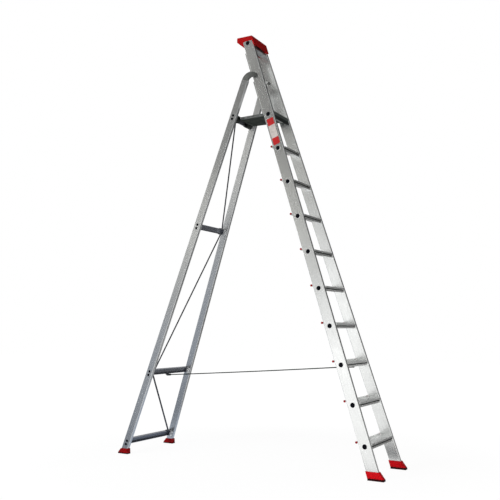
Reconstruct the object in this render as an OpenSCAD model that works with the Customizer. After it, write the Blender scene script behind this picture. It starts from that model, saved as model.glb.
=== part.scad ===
// Aluminium platform step ladder: a climbing frame with nine treads, a hinged rear frame, a platform that
// folds up between the stiles, and a spreader cord. Millimetres, +Z up, +X to the climbing side, origin on
// the floor under the middle of the ladder.

/* [Stance] */
// Length on the floor, from the back of the rear feet to the front of the front feet
stance_l = 1951; // [1700:1:2200]
// Backward lean of the climbing frame, in degrees
front_lean = 18.17; // [15:0.01:20]
// Outer width of the climbing frame at the floor
front_w_floor = 451; // [420:1:500]
// Outer width of the climbing frame at the platform axle
front_w_top = 264; // [255:1:275]
// Outer width of the rear frame at the floor
rear_w_floor = 569; // [520:1:640]
// How far a rear leg's outer face stands outside the stiles' at the platform bar
leg_stand = 23.5; // [20:0.5:28]

/* [Stiles] */
// Depth of a stile, front to back
stile_d = 72; // [65:1:80]
// Thickness of a stile, side to side
stile_t = 25; // [20:0.5:30]
// Wall of the hollow stile
stile_wall = 2; // [1.5:0.1:3]
// Corner radius of a stile
stile_r = 3; // [2:0.5:6]
// Height of the stiles' level top ends above the platform axle
top_h = 566; // [520:1:620]
// How far the guard strips above the platform stand behind the stiles
guard_back = 17; // [12:0.5:19]
// Thickness of a guard strip
guard_t = 2; // [1.5:0.1:2.5]

/* [Treads] */
// Height from one tread to the next
rise = 240; // [220:1:260]
// Height of the lowest tread's tube axis
first_tread_z = 193; // [180:1:230]
// How far the nose stands in front of the tube axis
tread_nose = 36; // [30:1:45]
// How far the rear bead's axis lies behind the tube axis
tread_back = 58; // [54:1:66]
// Height of the walking surface above the tube axis
tread_top = 15; // [13.5:0.5:18]
// Wall of the tread extrusion
tread_wall = 3; // [2:0.1:4]
// Height of the tread's front face
nose_h = 30; // [26:1:38]
// Outer radius of the tread's tube
tube_r = 13; // [10:0.5:15]
// Wall of the tread's tube
tube_wall = 2; // [1.2:0.1:3]
// Outer radius of the flare that locks a tube in a stile
flare_r = 16; // [15.5:0.5:20]
// Thickness of the flare
flare_t = 2.5; // [1.5:0.1:4]
// Height of the rear bead's axis above the tube axis
bead_lift = 19; // [16:0.5:22]
// Radius of the tread's rear bead
bead_r = 6.5; // [5.5:0.1:8]
// Radius of a bead plug's head
plug_r = 7.5; // [6.6:0.1:9]
// Thickness of a bead plug's head
plug_t = 3; // [2:0.5:5]

/* [Top] */
// Depth of the top rail's tube axis below the stiles' ends
rail_drop = 18; // [16:1:40]
// Height of the top cap above the stiles' ends
cap_h = 35; // [28:1:50]
// How far the cap reaches behind the stile axis, at its top
cap_back = 84; // [76:1:100]
// How far the cap's front stands in front of the stiles
cap_fore = 10; // [6:0.5:14]
// Wall of the cap
cap_wall = 5; // [4:0.5:7]
// Depth of the tool tray in the cap
tray_h = 14; // [8:1:18]

/* [Hinge] */
// Height of the rear frame's hinge above the platform axle
hinge_h = 303; // [285:1:325]
// How far the hinge lies behind the stile axis
hinge_back = 18; // [12:0.5:24]
// Distance from the hinge to a rear leg's axis, and the radius of the curved bracket
hinge_offset = 54; // [50:1:66]
// Radius of a hinge bolt's shank
bolt_r = 6; // [5:0.5:8]
// Radius of a hinge bolt's cap head
bolt_head_r = 11; // [9:0.5:14]
// Radius of the bracket's eye
eye_r = 16; // [13:0.5:20]

/* [Rear frame] */
// Depth of a rear leg, front to back
leg_d = 50; // [44:1:56]
// Thickness of a rear leg, side to side
leg_t = 25; // [20:0.5:28]
// Wall of a rear leg
leg_wall = 2; // [1.5:0.1:3]
// Corner radius of a rear leg
leg_r = 2.5; // [2:0.5:5]
// Height of a crossbar channel
bar_h = 40; // [32:1:50]
// Depth of a crossbar's flanges
bar_flange = 17; // [12:1:22]
// Wall of a crossbar
bar_wall = 3; // [2:0.1:4]
// Height of the bottom crossbar on the legs
bottom_bar_z = 79; // [70:1:140]
// Height of the middle crossbar on the legs
middle_bar_z = 570; // [500:1:700]
// Height of the upper crossbar on the legs
upper_bar_z = 1606; // [1500:1:1750]
// Width of a brace strip
brace_w = 13; // [10:0.5:18]
// Thickness of a brace strip
brace_t = 3; // [2:0.5:4]

/* [Feet] */
// Height of a front foot
front_foot_h = 52; // [44:1:70]
// How far a front foot's sole reaches in front of the stile axis
front_foot_fore = 57; // [50:1:66]
// How far a front foot's sole reaches behind the stile axis
front_foot_aft = 45; // [44:1:60]
// Height of a rear foot
rear_foot_h = 37; // [30:1:50]
// How far a rear foot's sole reaches in front of the leg axis
rear_foot_fore = 45; // [42:1:60]
// How far a rear foot's sole reaches behind the leg axis
rear_foot_aft = 40; // [32:1:50]
// Wall of a foot round its stile or leg
foot_wall = 3.5; // [2.5:0.5:6]
// Thickness of a foot's sole
sole_t = 9; // [6:0.5:14]

/* [Platform] */
// Height of the platform axle above the next even tread height
axle_lift = 11; // [0:1:30]
// Height of the deck's top above its axle
deck_rise = 21; // [20.5:0.5:28]
// How far the deck reaches in front of its axle
deck_front = 36; // [30:1:42]
// Half the deck's width at its rear edge
deck_rear_half = 91; // [84:1:93]
// Thickness of the deck's plate
deck_plate = 4; // [3:0.5:6]
// Wall of the deck's skirt and ribs
deck_wall = 3.5; // [2.5:0.5:5]
// Height of the deck's skirt
deck_skirt_h = 22; // [18:1:26]
// Radius of the saddles on the platform bar
saddle_r = 25; // [24:0.5:28]
// Length of a saddle along the bar
saddle_l = 64; // [56:1:72]
// Width of a hook
hook_w = 22; // [18:1:28]
// Thickness of a hook
hook_t = 4; // [3:0.5:6]

/* [Cord] */
// Diameter of the spreader cord
cord_d = 7; // [5:0.5:9]

/* [Hidden] */
$fn = 48;
tread_count = 9;
cord_tread = 3;

// Fits and cuts
overrun = 1;
seat_gap = 0.05;
hole_gap = 0.15;
run_gap = 0.05;
body_gap = 0.4;
tread_gap = 1.4;

// Climbing frame: height of the platform axle, place of the stiles and how they draw in
axle_z = first_tread_z + tread_count * rise + axle_lift;
stile_top_z = axle_z + top_h;
rail_z = stile_top_z - rail_drop;
hinge_z = axle_z + hinge_h;
front_x0 = stance_l / 2 - front_foot_fore;
front_taper = (front_w_floor - front_w_top) / 2 / axle_z;
front_splay = atan(front_taper * cos(front_lean));
stile_half_x = stile_d / 2 / cos(front_lean);
stile_start = (sole_t + stile_d / 2 * sin(front_lean)) / cos(front_lean);
stile_len = stile_top_z / cos(front_lean) + stile_d;
tube_bore = tube_r - tube_wall;
guard_lap = 20;
guard_clear = 15;

// Treads: plug seat, ribs and groove
plug_inset = 12;
plug_stem_r = 3.3;
plug_stem_l = 9;
bead_bore_r = plug_stem_r + hole_gap;
lip_d = 12;
rib_count = 8;
rib_w = 3;
rib_h = 1.2;
groove_d = 1.5;
groove_h = 7;
flare_chamfer = 1;

// Top: rail section and cap
rail_fore = 30;
rail_aft = 26;
rail_top = 14;
rail_low = 24;
cap_lip_h = 32;
cap_wedge_z = 50;
cap_front_drop = 32;

// Rear frame: width, hinge, lean, and distances along the leaning frame
rear_w_top = front_w_top + 2 * leg_stand;
hinge_x = front_x0 - hinge_z * tan(front_lean) - hinge_back;
rear_x0 = -stance_l / 2 + rear_foot_aft;
hinge_reach = sqrt(pow(hinge_x - rear_x0, 2) + pow(hinge_z, 2));
rear_lean = atan((hinge_x - rear_x0) / hinge_z) - asin(hinge_offset / hinge_reach);
hinge_w = sqrt(pow(hinge_reach, 2) - pow(hinge_offset, 2));
leg_top_w = hinge_w - hinge_offset;
bar_lift = 10;
bottom_w = bottom_bar_z / cos(rear_lean);
middle_w = middle_bar_z / cos(rear_lean);
upper_w = upper_bar_z / cos(rear_lean);
platform_w = (axle_z + bar_lift) / cos(rear_lean);
bar_ws = [bottom_w, middle_w, upper_w, platform_w];
rear_taper = (rear_w_floor - rear_w_top) / 2 / platform_w;
rear_splay = atan(rear_taper);
leg_start = (sole_t + leg_d / 2 * sin(rear_lean)) / cos(rear_lean);
tab_d = 46;
tab_h = 44;
tab_t = 3;
rivet_r = 2.4;
rivet_head_r = 4.8;
rivet_head_t = 2.2;
rivet_pitch = 25;
brace_reach = 6;
brace_u = -leg_d / 2 + bar_flange + brace_reach;
brace_inset = 36;
brace_ear_l = 20;

// Hinge: the bracket's eye stands just outside the stile, the nut on the stile's inner face
eye_gap = 3;
eye_t = 16;
eye_in = front_half(hinge_z) + eye_gap;
eye_out = max(rear_half(hinge_w), eye_in + eye_t);
bracket_half = 23;
bracket_lap = 1;
bracket_end = eye_r - bracket_lap;
bend_out_r = bend_radius(hinge_offset + bracket_half, hinge_offset + bracket_end);
bend_in_r = bend_radius(hinge_offset - bracket_half, hinge_offset - bracket_end);
bend_out_u = bend_out_r - bracket_half;
bend_in_u = bend_in_r + bracket_half;
bracket_web_t = 14;
bracket_flange = 6;
stub_l = 62;
stub_gap = 0.3;
nut_r = 10;
nut_t = 8;
nut_lean = (nut_r + hinge_back * sin(front_lean)) * tan(front_splay);
nut_y = -front_half(hinge_z) + stile_t / cos(front_splay) + nut_lean + seat_gap;
bolt_head_t = 6;
bolt_end = 3;

// Platform: axle, saddle centre, deck and hooks
axle_x = front_x(axle_z);
deck_side_gap = 4;
deck_front_half = front_half(axle_z) - stile_t - deck_side_gap;
saddle_u = -leg_d / 2 + bar_flange / 2;
saddle_x = rear_point(saddle_u, platform_w)[0];
saddle_z = rear_point(saddle_u, platform_w)[1];
saddle_out = leg_inner(platform_w + saddle_r) - tab_t - rivet_head_t - overrun;
hook_room = 22;
deck_back = axle_x - saddle_x - saddle_r - hook_room;
axle_gap = 1.5;
boss_l = 34;
boss_wall = 4;
boss_inset = 5;
boss_in = deck_front_half - boss_inset - boss_l;
bush_t = 3;
bush_r = tube_r + run_gap + bush_t;
boss_r = bush_r + seat_gap + boss_wall;
nosing_t = 4;
nosing_h = 24;
nosing_lip = 8;
deck_lip_h = 22;
deck_rib_count = 5;
strip_count = 11;
strip_w = 6;
strip_h = 1.2;
side_rail_t = 2.5;
side_rail_h = 12;
side_rail_drop = 6;
slot_count = 5;
slot_share = 0.6;
slot_h = 4;
hook_from = 32;
hook_to = 172;
hook_lap = 8;
hook_root_h = 18;

// Cord: a nearly straight line from under the middle crossbar to under a tread, with a slight sag
cord_r = cord_d / 2;
cord_sides = 8;
cord_points = 20;
cord_steps = 4;
cord_sag = 3;
cord_rear_back = 2;
cord_rear_drop = 26.4;
cord_front_back = 25;
cord_front_drop = 21;
clamp_wall = 3.5;
clamp_r = cord_r + clamp_wall;
clamp_l = 32;
clamp_bore_l = 16;
clamp_drop = 26;
lug_w = 18;
lug_d = 14;
cord_start = rear_point(-cord_rear_back, middle_w - cord_rear_drop);
cord_stop = [
  front_x(tread_z(cord_tread)) - cord_front_back, tread_z(cord_tread) - cord_front_drop
];
cord_rise = atan2(cord_stop[1] - cord_start[1], cord_stop[0] - cord_start[0]);
cord_route = [
  for (i = [0:cord_points])
    let (t = i / cord_points, p = cord_start + (cord_stop - cord_start) * t)
      [p[0], 0, p[1] - 4 * cord_sag * t * (1 - t)]
];

// Places on the climbing frame at a height
function front_x(z) = front_x0 - z * tan(front_lean);
function front_half(z) = front_w_floor / 2 - z * front_taper;
function tread_z(k) = first_tread_z + (k - 1) * rise;
function stile_w(z) = z / cos(front_lean) / cos(front_splay);

// Places on the rear frame at a distance along its lean
function rear_half(w) = rear_w_floor / 2 - w * rear_taper;
function leg_inner(w) = rear_half(w) - leg_t / cos(rear_splay);
function rear_point(u, w) = [
  rear_x0 + u * cos(rear_lean) + w * sin(rear_lean),
  w * cos(rear_lean) - u * sin(rear_lean)
];

// Stile frame: z runs up the left stile, x to the front, y inwards from its outer face
module stile_place() {
  translate([front_x0, 0, 0])
    rotate([0, -front_lean, 0])
      translate([0, -front_w_floor / 2, 0])
        rotate([-front_splay, 0, 0])
          children();
}

// Rear frame: z runs up the frame's lean, x to the front
module rear_place() {
  translate([rear_x0, 0, 0])
    rotate([0, rear_lean, 0])
      children();
}

// Leg frame: z runs up the left leg, y inwards from its outer face
module leg_place() {
  rear_place()
    translate([0, -rear_w_floor / 2, 0])
      rotate([-rear_splay, 0, 0])
        children();
}

// Draws a left piece, or its mirror image on the right
module on_side(side) {
  if (side == "left") {
    children();
  } else {
    mirror([0, 1, 0])
      children();
  }
}

module on_both_sides() {
  on_side("left")
    children();
  on_side("right")
    children();
}

// A drawing in X and Z pulled out along Y, from y0 to y1
module pull_y(y0, y1) {
  translate([0, y1, 0])
    rotate([90, 0, 0])
      linear_extrude(height = y1 - y0)
        children();
}

// A rod along Y
module rod_y(r, y0, y1) {
  translate([0, y1, 0])
    rotate([90, 0, 0])
      cylinder(r = r, h = y1 - y0);
}

module rounded(w, h, r) {
  translate([r, 0])
    square([w - 2 * r, h]);
  translate([0, r])
    square([w, h - 2 * r]);
  for (x = [r, w - r], y = [r, h - r])
    translate([x, y])
      circle(r = r);
}

// Solid outline of the left stile, grown by a gap
module stile_outline(gap) {
  stile_place()
    translate([-stile_d / 2 - gap, -gap, stile_start - gap])
      linear_extrude(height = stile_len)
        rounded(stile_d + 2 * gap, stile_t + 2 * gap, stile_r);
}

// Everything above the stiles' level ends
module above_stiles(gap) {
  translate([-stance_l / 2, -front_w_floor, stile_top_z + gap])
    cube([stance_l, 2 * front_w_floor, stile_top_z]);
}

// Heights of the tubes that pass through the stiles
tube_zs = concat([for (k = [1:tread_count]) tread_z(k)], [axle_z, rail_z]);

module stile(side) {
  color("#a7abae")
    on_side(side)
      difference() {
        stile_outline(0);
        stile_place()
          translate([-stile_d / 2 + stile_wall, stile_wall, 0])
            cube([stile_d - 2 * stile_wall, stile_t - 2 * stile_wall, 2 * stile_len]);
        above_stiles(0);
        for (z = tube_zs)
          translate([front_x(z), 0, z])
            rod_y(tube_r + hole_gap, -front_w_floor, 0);
        translate([hinge_x, 0, hinge_z])
          rod_y(bolt_r + hole_gap, -front_w_floor, 0);
      }
}

// Strip on a stile's inner face that reaches behind the stile between two heights
module guard_band(side, z0, z1) {
  color("#a7abae")
    on_side(side)
      stile_place()
        translate([-stile_d / 2 - guard_back, stile_t + seat_gap, stile_w(z0)])
          cube([guard_back + guard_lap, guard_t, stile_w(z1) - stile_w(z0)]);
}

module guard_strip(side) {
  guard_band(side, axle_z + deck_rise + guard_clear, hinge_z - nut_r - guard_clear);
}

module guard_head(side) {
  guard_band(side, hinge_z + nut_r + guard_clear, cap_wedge_low - guard_clear);
}

// Flare on the left stile's outer face at height z
module flare(z) {
  stile_place()
    translate([0, -seat_gap, stile_w(z)])
      rotate([90, 0, 0])
        rotate_extrude()
          polygon([
            [0, 0], [flare_r, 0], [flare_r, flare_t - flare_chamfer],
            [flare_r - flare_chamfer, flare_t], [0, flare_t]
          ]);
}

// Tube through both stiles at height z, flared outside them
module flared_tube(z) {
  tube_half = front_half(z) + flare_t / 2;
  translate([front_x(z), 0, z])
    rod_y(tube_r, -tube_half, tube_half);
  on_both_sides()
    flare(z);
}

module tube_hole(z) {
  translate([front_x(z), 0, z])
    rod_y(tube_bore, -front_w_floor, front_w_floor);
}

// Section of a tread without its tube and bead: ribbed top, grooved nose and lower lip
module tread_section() {
  rib_pitch = (tread_nose + tread_back) / rib_count;
  difference() {
    union() {
      translate([-tread_back, tread_top - tread_wall])
        square([tread_back + tread_nose, tread_wall]);
      translate([tread_nose - tread_wall, tread_top - nose_h])
        square([tread_wall, nose_h]);
      translate([tread_nose - lip_d, tread_top - nose_h])
        square([lip_d, tread_wall]);
      translate([-tube_r / 2, 0])
        square([tube_r, tread_top - tread_wall / 2]);
      translate([-tread_back - bead_r / 2, tread_top - tread_wall])
        square([bead_r, bead_lift - tread_top + tread_wall]);
      for (i = [0:rib_count - 1])
        translate([-tread_back + rib_pitch * i + rib_w, tread_top - rib_h])
          square([rib_w, 2 * rib_h]);
    }
    translate([tread_nose - groove_d, tread_top - nose_h / 2 - groove_h / 2])
      square([groove_d + overrun, groove_h]);
  }
}

module tread(k) {
  z = tread_z(k);
  plate_half = front_half(z) - stile_t / cos(front_splay) - tread_gap;
  bead_half = front_half(z) - plug_inset;
  color("#b4b8ba")
    difference() {
      union() {
        translate([front_x(z), 0, z]) {
          pull_y(-plate_half, plate_half)
            tread_section();
          translate([-tread_back, 0, bead_lift])
            rod_y(bead_r, -bead_half, bead_half);
        }
        flared_tube(z);
      }
      tube_hole(z);
      translate([front_x(z) - tread_back, 0, z + bead_lift])
        rod_y(bead_bore_r, -front_w_floor, front_w_floor);
    }
}

module tread_plugs() {
  color("#b01418")
    for (k = [1:tread_count])
      translate([front_x(tread_z(k)) - tread_back, 0, tread_z(k) + bead_lift])
        on_both_sides()
          translate([0, -front_half(tread_z(k)) + plug_inset - seat_gap, 0]) {
            rod_y(plug_r, -plug_t, 0);
            rod_y(plug_stem_r, -plug_t, plug_stem_l);
          }
}

// Side outline of a foot: level sole, walls that follow the leaning member
module foot_outline(fore, aft, h, half_x, lean) {
  polygon([
    [-aft, 0], [fore, 0], [fore, sole_t], [half_x + foot_wall - h * tan(lean), h],
    [-half_x - foot_wall - h * tan(lean), h], [-aft, sole_t]
  ]);
}

module front_foot(side) {
  foot_y = -front_half(0);
  color("#c4151b")
    on_side(side)
      difference() {
        translate([front_x0, 0, 0])
          pull_y(foot_y - foot_wall, foot_y + stile_t + foot_wall + front_foot_h * front_taper)
            foot_outline(front_foot_fore, front_foot_aft, front_foot_h, stile_half_x, front_lean);
        stile_outline(hole_gap);
      }
}

// Leg outline grown by a gap, from its lower end
module leg_outline(gap) {
  leg_place()
    translate([-leg_d / 2 - gap, -gap, leg_start - gap])
      linear_extrude(height = leg_top_w / cos(rear_splay) - leg_start + 2 * gap)
        rounded(leg_d + 2 * gap, leg_t + 2 * gap, leg_r);
}

module rear_foot(side) {
  foot_y = -rear_half(0);
  color("#c4151b")
    on_side(side)
      difference() {
        translate([rear_x0, 0, 0])
          pull_y(foot_y - foot_wall, foot_y + leg_t + foot_wall + rear_foot_h * rear_taper)
            foot_outline(
              rear_foot_fore, rear_foot_aft, rear_foot_h, leg_d / 2 / cos(rear_lean), -rear_lean
            );
        leg_outline(hole_gap);
      }
}

module top_rail() {
  half = front_half(rail_z + rail_top) - stile_t / cos(front_splay) - tread_gap;
  color("#b4b8ba")
    difference() {
      union() {
        translate([front_x(rail_z), 0, rail_z])
          pull_y(-half, half)
            difference() {
              translate([-rail_aft, -rail_low])
                square([rail_aft + rail_fore, rail_low + rail_top]);
              translate([-rail_aft + tread_wall, -rail_low + tread_wall])
                square([rail_aft + rail_fore - 2 * tread_wall, rail_low + rail_top - 2 * tread_wall]);
            }
        flared_tube(rail_z);
      }
      tube_hole(rail_z);
    }
}

// Cap: outer outline in X and Z, from the front wall over the tray to the rear lip and wedge
cap_top_z = stile_top_z + cap_h;
cap_rear_x = front_x(stile_top_z) - cap_back;
cap_front_z = stile_top_z - cap_front_drop;
cap_wedge_low = stile_top_z - cap_wedge_z;

module cap_outline(inset) {
  front = stile_half_x + cap_fore - inset;
  polygon([
    [front_x(cap_front_z) + front, cap_front_z],
    [front_x(cap_top_z) + front, cap_top_z - inset],
    [cap_rear_x + inset, cap_top_z - inset],
    [cap_rear_x + inset, cap_top_z - cap_lip_h + inset],
    [front_x(cap_wedge_low) - stile_half_x, cap_wedge_low + 2 * inset],
    [front_x(cap_wedge_low), cap_wedge_low + 2 * inset],
    [front_x(cap_front_z) + stile_half_x / 2, cap_front_z]
  ]);
}

module top_cap() {
  half = front_half(stile_top_z);
  inner = half - stile_t - cap_wall;
  tray_fore = front_x(cap_top_z) + stile_half_x - cap_wall;
  tray_aft = cap_rear_x + 2 * cap_wall;
  rail_room = body_gap + hole_gap;
  color("#c4151b")
    difference() {
      pull_y(-half, half)
        cap_outline(0);
      on_both_sides()
        difference() {
          stile_outline(hole_gap);
          above_stiles(hole_gap);
        }
      translate([tray_aft, -inner, cap_top_z - tray_h])
        cube([tray_fore - tray_aft, 2 * inner, tray_h + overrun]);
      intersection() {
        pull_y(-inner, inner)
          cap_outline(cap_wall);
        translate([tray_aft - cap_wall, -half, cap_wedge_low])
          cube([2 * cap_back, 2 * half, cap_top_z - tray_h - cap_wall - cap_wedge_low]);
      }
      translate([front_x(rail_z) - rail_aft - rail_room, -half, cap_wedge_low - overrun])
        cube([
          rail_aft + rail_fore + 2 * rail_room, 2 * half,
          rail_z + rail_top + rail_room - cap_wedge_low + overrun
        ]);
    }
}

module hinge_bolt(side) {
  outer = -eye_out - body_gap;
  color("#3a3d3c")
    on_side(side)
      translate([hinge_x, 0, hinge_z]) {
        rod_y(bolt_head_r, outer - bolt_head_t, outer);
        rod_y(bolt_r, outer - bolt_head_t, nut_y + nut_t + bolt_end);
      }
}

module hinge_nuts() {
  color("#8d9193")
    on_both_sides()
      translate([hinge_x, nut_y, hinge_z])
        difference() {
          translate([0, nut_t, 0])
            rotate([90, 0, 0])
              cylinder(r = nut_r, h = nut_t, $fn = 6);
          rod_y(bolt_r + seat_gap, -overrun, nut_t + overrun);
        }
}

module platform_axle() {
  color("#b4b8ba")
    difference() {
      flared_tube(axle_z);
      tube_hole(axle_z);
    }
}

module rear_leg(side) {
  color("#9aa0a4")
    on_side(side)
      difference() {
        leg_outline(0);
        leg_place()
          translate([-leg_d / 2 + leg_wall, leg_wall, 0])
            cube([leg_d - 2 * leg_wall, leg_t - 2 * leg_wall, 2 * leg_top_w]);
        leg_holes();
      }
}

// Distance up a leg at a distance up the rear frame's lean
function leg_w(w) = w / cos(rear_splay);

// Distances up a leg of the rivets through the crossbar tabs
bar_rivet_ws = [for (w = bar_ws, s = [-1, 1]) leg_w(w) + s * rivet_pitch / 2];

// Distances up a leg of the rivets through a bracket's stub
stub_rivet_ws = [for (s = [1, 2]) leg_w(leg_top_w) - s * stub_l / 3];

// Rivet holes through the left leg
module leg_holes() {
  leg_place()
    for (w = concat(bar_rivet_ws, stub_rivet_ws))
      translate([0, 0, w])
        rod_y(rivet_r + hole_gap, -overrun, leg_t + overrun);
}

// Crossbar channel at distance w up the frame, with a tab on each leg's inner face
module crossbar(w) {
  half = leg_inner(w + bar_h / 2) - seat_gap;
  rear_u = -leg_d / 2;
  color("#62686e")
    difference() {
      union() {
        rear_place()
          translate([rear_u, -half, w - bar_h / 2])
            difference() {
              cube([bar_flange, 2 * half, bar_h]);
              translate([bar_wall, -overrun, bar_wall])
                cube([bar_flange, 2 * half + 2 * overrun, bar_h - 2 * bar_wall]);
            }
        on_both_sides()
          leg_place()
            translate([rear_u, leg_t + seat_gap, leg_w(w) - tab_h / 2])
              cube([tab_d, tab_t, tab_h]);
      }
      on_both_sides()
        leg_place()
          for (s = [-1, 1])
            translate([0, 0, leg_w(w) + s * rivet_pitch / 2])
              rod_y(rivet_r + hole_gap, 0, leg_t + bar_wall + tab_t);
    }
}

// Rivet along the leg frame's y, its heads outside a stack from y0 to y1
module rivet_y(y0, y1) {
  rod_y(rivet_r, y0 - rivet_head_t / 2, y1 + rivet_head_t / 2);
  rod_y(rivet_head_r, y0 - rivet_head_t, y0 - seat_gap);
  rod_y(rivet_head_r, y1 + seat_gap, y1 + rivet_head_t);
}

module bar_rivets() {
  color("#4a4e52")
    on_both_sides()
      leg_place()
        for (w = bar_rivet_ws)
          translate([0, 0, w])
            rivet_y(0, leg_t + seat_gap + tab_t);
}

module bracket_rivets() {
  color("#4a4e52")
    on_both_sides()
      leg_place()
        for (w = stub_rivet_ws)
          translate([0, 0, w])
            rivet_y(0, leg_t);
}

// Braces: their upper and lower ends as [y, w] on the rear frame, under and on the crossbars' flanges
function brace_y(w) = leg_inner(w) - brace_inset;
under_saddle = platform_w - saddle_r - seat_gap;
flange_w = bar_h / 2 + seat_gap;
brace_ends = [
  [[-brace_y(platform_w), under_saddle], [brace_y(upper_w), upper_w + flange_w]],
  [[brace_y(upper_w), upper_w - flange_w], [-brace_y(middle_w), middle_w + flange_w]],
  [[-brace_y(middle_w), middle_w - flange_w], [brace_y(bottom_w), bottom_w + flange_w]]
];

// Ears' lower faces as [y, w], with the side of the ear that the rivet's head is on
function brace_ears(i) = [
  [brace_ends[i][0][0], brace_ends[i][0][1] - brace_t, -1],
  [brace_ends[i][1][0], brace_ends[i][1][1], 1]
];

// Strip between two bent ears
module brace(i) {
  low = brace_ends[i][1];
  run = brace_ends[i][0] - low;
  color("#5d6164")
    rear_place()
      difference() {
        union() {
          intersection() {
            translate([0, low[0], low[1]])
              rotate([-atan2(run[0], run[1]), 0, 0])
                translate([brace_u - brace_t, -brace_w / 2, -brace_w])
                  cube([brace_t, brace_w, norm(run) + 2 * brace_w]);
            translate([-leg_d, -rear_w_floor, low[1]])
              cube([2 * leg_d, 2 * rear_w_floor, run[1]]);
          }
          for (ear = brace_ears(i))
            translate([-leg_d / 2, ear[0] - brace_ear_l / 2, ear[1]])
              cube([brace_u + leg_d / 2, brace_ear_l, brace_t]);
        }
        for (ear = brace_ears(i))
          translate([saddle_u, ear[0], ear[1] - overrun])
            cylinder(r = rivet_r + hole_gap, h = brace_t + 2 * overrun);
      }
}

module brace_rivets() {
  color("#4a4e52")
    rear_place()
      for (i = [0:len(brace_ends) - 1], ear = brace_ears(i))
        translate([saddle_u, ear[0], ear[1] + brace_t / 2])
          mirror([0, 0, ear[2] < 0 ? 1 : 0]) {
            translate([0, 0, -brace_t / 2])
              cylinder(r = rivet_r, h = brace_t + rivet_head_t);
            translate([0, 0, brace_t / 2 + seat_gap])
              cylinder(r = rivet_head_r, h = rivet_head_t - seat_gap);
          }
}

// Radius of a circle that starts upright and reaches a height after a run
function bend_radius(run, height) = (pow(run, 2) + pow(height, 2)) / 2 / run;

// Quarter bend on the leg's end between an inner and an outer circle, from y0 to y1
module bend_band(in_u, in_r, out_u, out_r, y0, y1) {
  intersection() {
    difference() {
      translate([out_u, 0, leg_top_w])
        rod_y(out_r, y0, y1);
      translate([in_u, 0, leg_top_w])
        rod_y(in_r, y0 - overrun, y1 + overrun);
    }
    translate([-leg_d, y0 - overrun, leg_top_w])
      cube([leg_d + hinge_offset, y1 - y0 + 2 * overrun, 2 * hinge_offset]);
  }
}

module leg_bracket(side) {
  mid = (eye_out + eye_in) / 2;
  stub_t = leg_t - 2 * leg_wall - 2 * stub_gap;
  stub_d = leg_d - 2 * leg_wall - 2 * stub_gap;
  color("#5b5f5e")
    on_side(side)
      difference() {
        union() {
          rear_place() {
            bend_band(
              bend_in_u, bend_in_r, bend_out_u, bend_out_r, -mid - bracket_web_t / 2, -mid + bracket_web_t / 2
            );
            bend_band(bend_in_u, bend_in_r, bend_in_u, bend_in_r + bracket_flange, -eye_out, -eye_in);
            bend_band(bend_out_u, bend_out_r - bracket_flange, bend_out_u, bend_out_r, -eye_out, -eye_in);
            bend_band(
              hinge_offset, hinge_offset - bracket_flange / 2, hinge_offset, hinge_offset + bracket_flange / 2,
              -eye_out, -eye_in
            );
          }
          translate([hinge_x, 0, hinge_z])
            rod_y(eye_r, -eye_out, -eye_in);
          leg_place()
            translate([-stub_d / 2, leg_wall + stub_gap, leg_w(leg_top_w) - stub_l])
              cube([stub_d, stub_t, stub_l + 2 * overrun]);
        }
        translate([hinge_x, 0, hinge_z])
          rod_y(bolt_r + run_gap, -eye_out - overrun, -eye_in + overrun);
        leg_place()
          for (w = stub_rivet_ws)
            translate([0, 0, w])
              rod_y(rivet_r + hole_gap, 0, leg_t);
      }
}

module bar_saddle(side) {
  color("#1e2120")
    on_side(side)
      rear_place()
        difference() {
          translate([saddle_u, 0, platform_w])
            rod_y(saddle_r, -saddle_out, -saddle_out + saddle_l);
          translate([-leg_d / 2 - hole_gap, -saddle_out - overrun, platform_w - bar_h / 2 - hole_gap])
            cube([bar_flange + 2 * hole_gap, saddle_l + 2 * overrun, bar_h + 2 * hole_gap]);
        }
}

// Blind bore along the cord, its mouth at the origin
module clamp_bore() {
  translate([-clamp_bore_l, 0, 0])
    rotate([0, 90, 0])
      cylinder(r = cord_r + body_gap, h = clamp_bore_l + overrun);
}

module cord_clamp_rear() {
  mouth = cord_route[0] + (clamp_bore_l - body_gap) * [cos(cord_rise), 0, sin(cord_rise)];
  color("#6d7275")
    difference() {
      union() {
        translate(mouth)
          rotate([0, -cord_rise, 0])
            translate([-clamp_l, 0, 0])
              rotate([0, 90, 0])
                cylinder(r = clamp_r, h = clamp_l);
        rear_place()
          translate([-leg_d / 2, -lug_w / 2, middle_w - bar_h / 2 - clamp_drop / 2])
            cube([bar_flange, lug_w, clamp_drop / 2 - seat_gap]);
      }
      translate(mouth)
        rotate([0, -cord_rise, 0])
          clamp_bore();
    }
}

module cord_clamp_front() {
  last = len(cord_route) - 1;
  mouth = cord_route[last] - (clamp_bore_l - body_gap) * [cos(cord_rise), 0, sin(cord_rise)];
  z = tread_z(cord_tread);
  color("#6d7275")
    difference() {
      union() {
        translate(mouth)
          rotate([0, 180 - cord_rise, 0])
            translate([-clamp_l, 0, 0])
              rotate([0, 90, 0])
                cylinder(r = clamp_r, h = clamp_l);
        translate([front_x(z) - tube_r - lug_d / 2, -lug_w / 2, z - clamp_drop])
          cube([tube_r + lug_d, lug_w, clamp_drop]);
      }
      translate(mouth)
        rotate([0, 180 - cord_rise, 0])
          clamp_bore();
      translate([front_x(z), 0, z])
        rod_y(tube_r + seat_gap, -lug_w, lug_w);
    }
}

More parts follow.
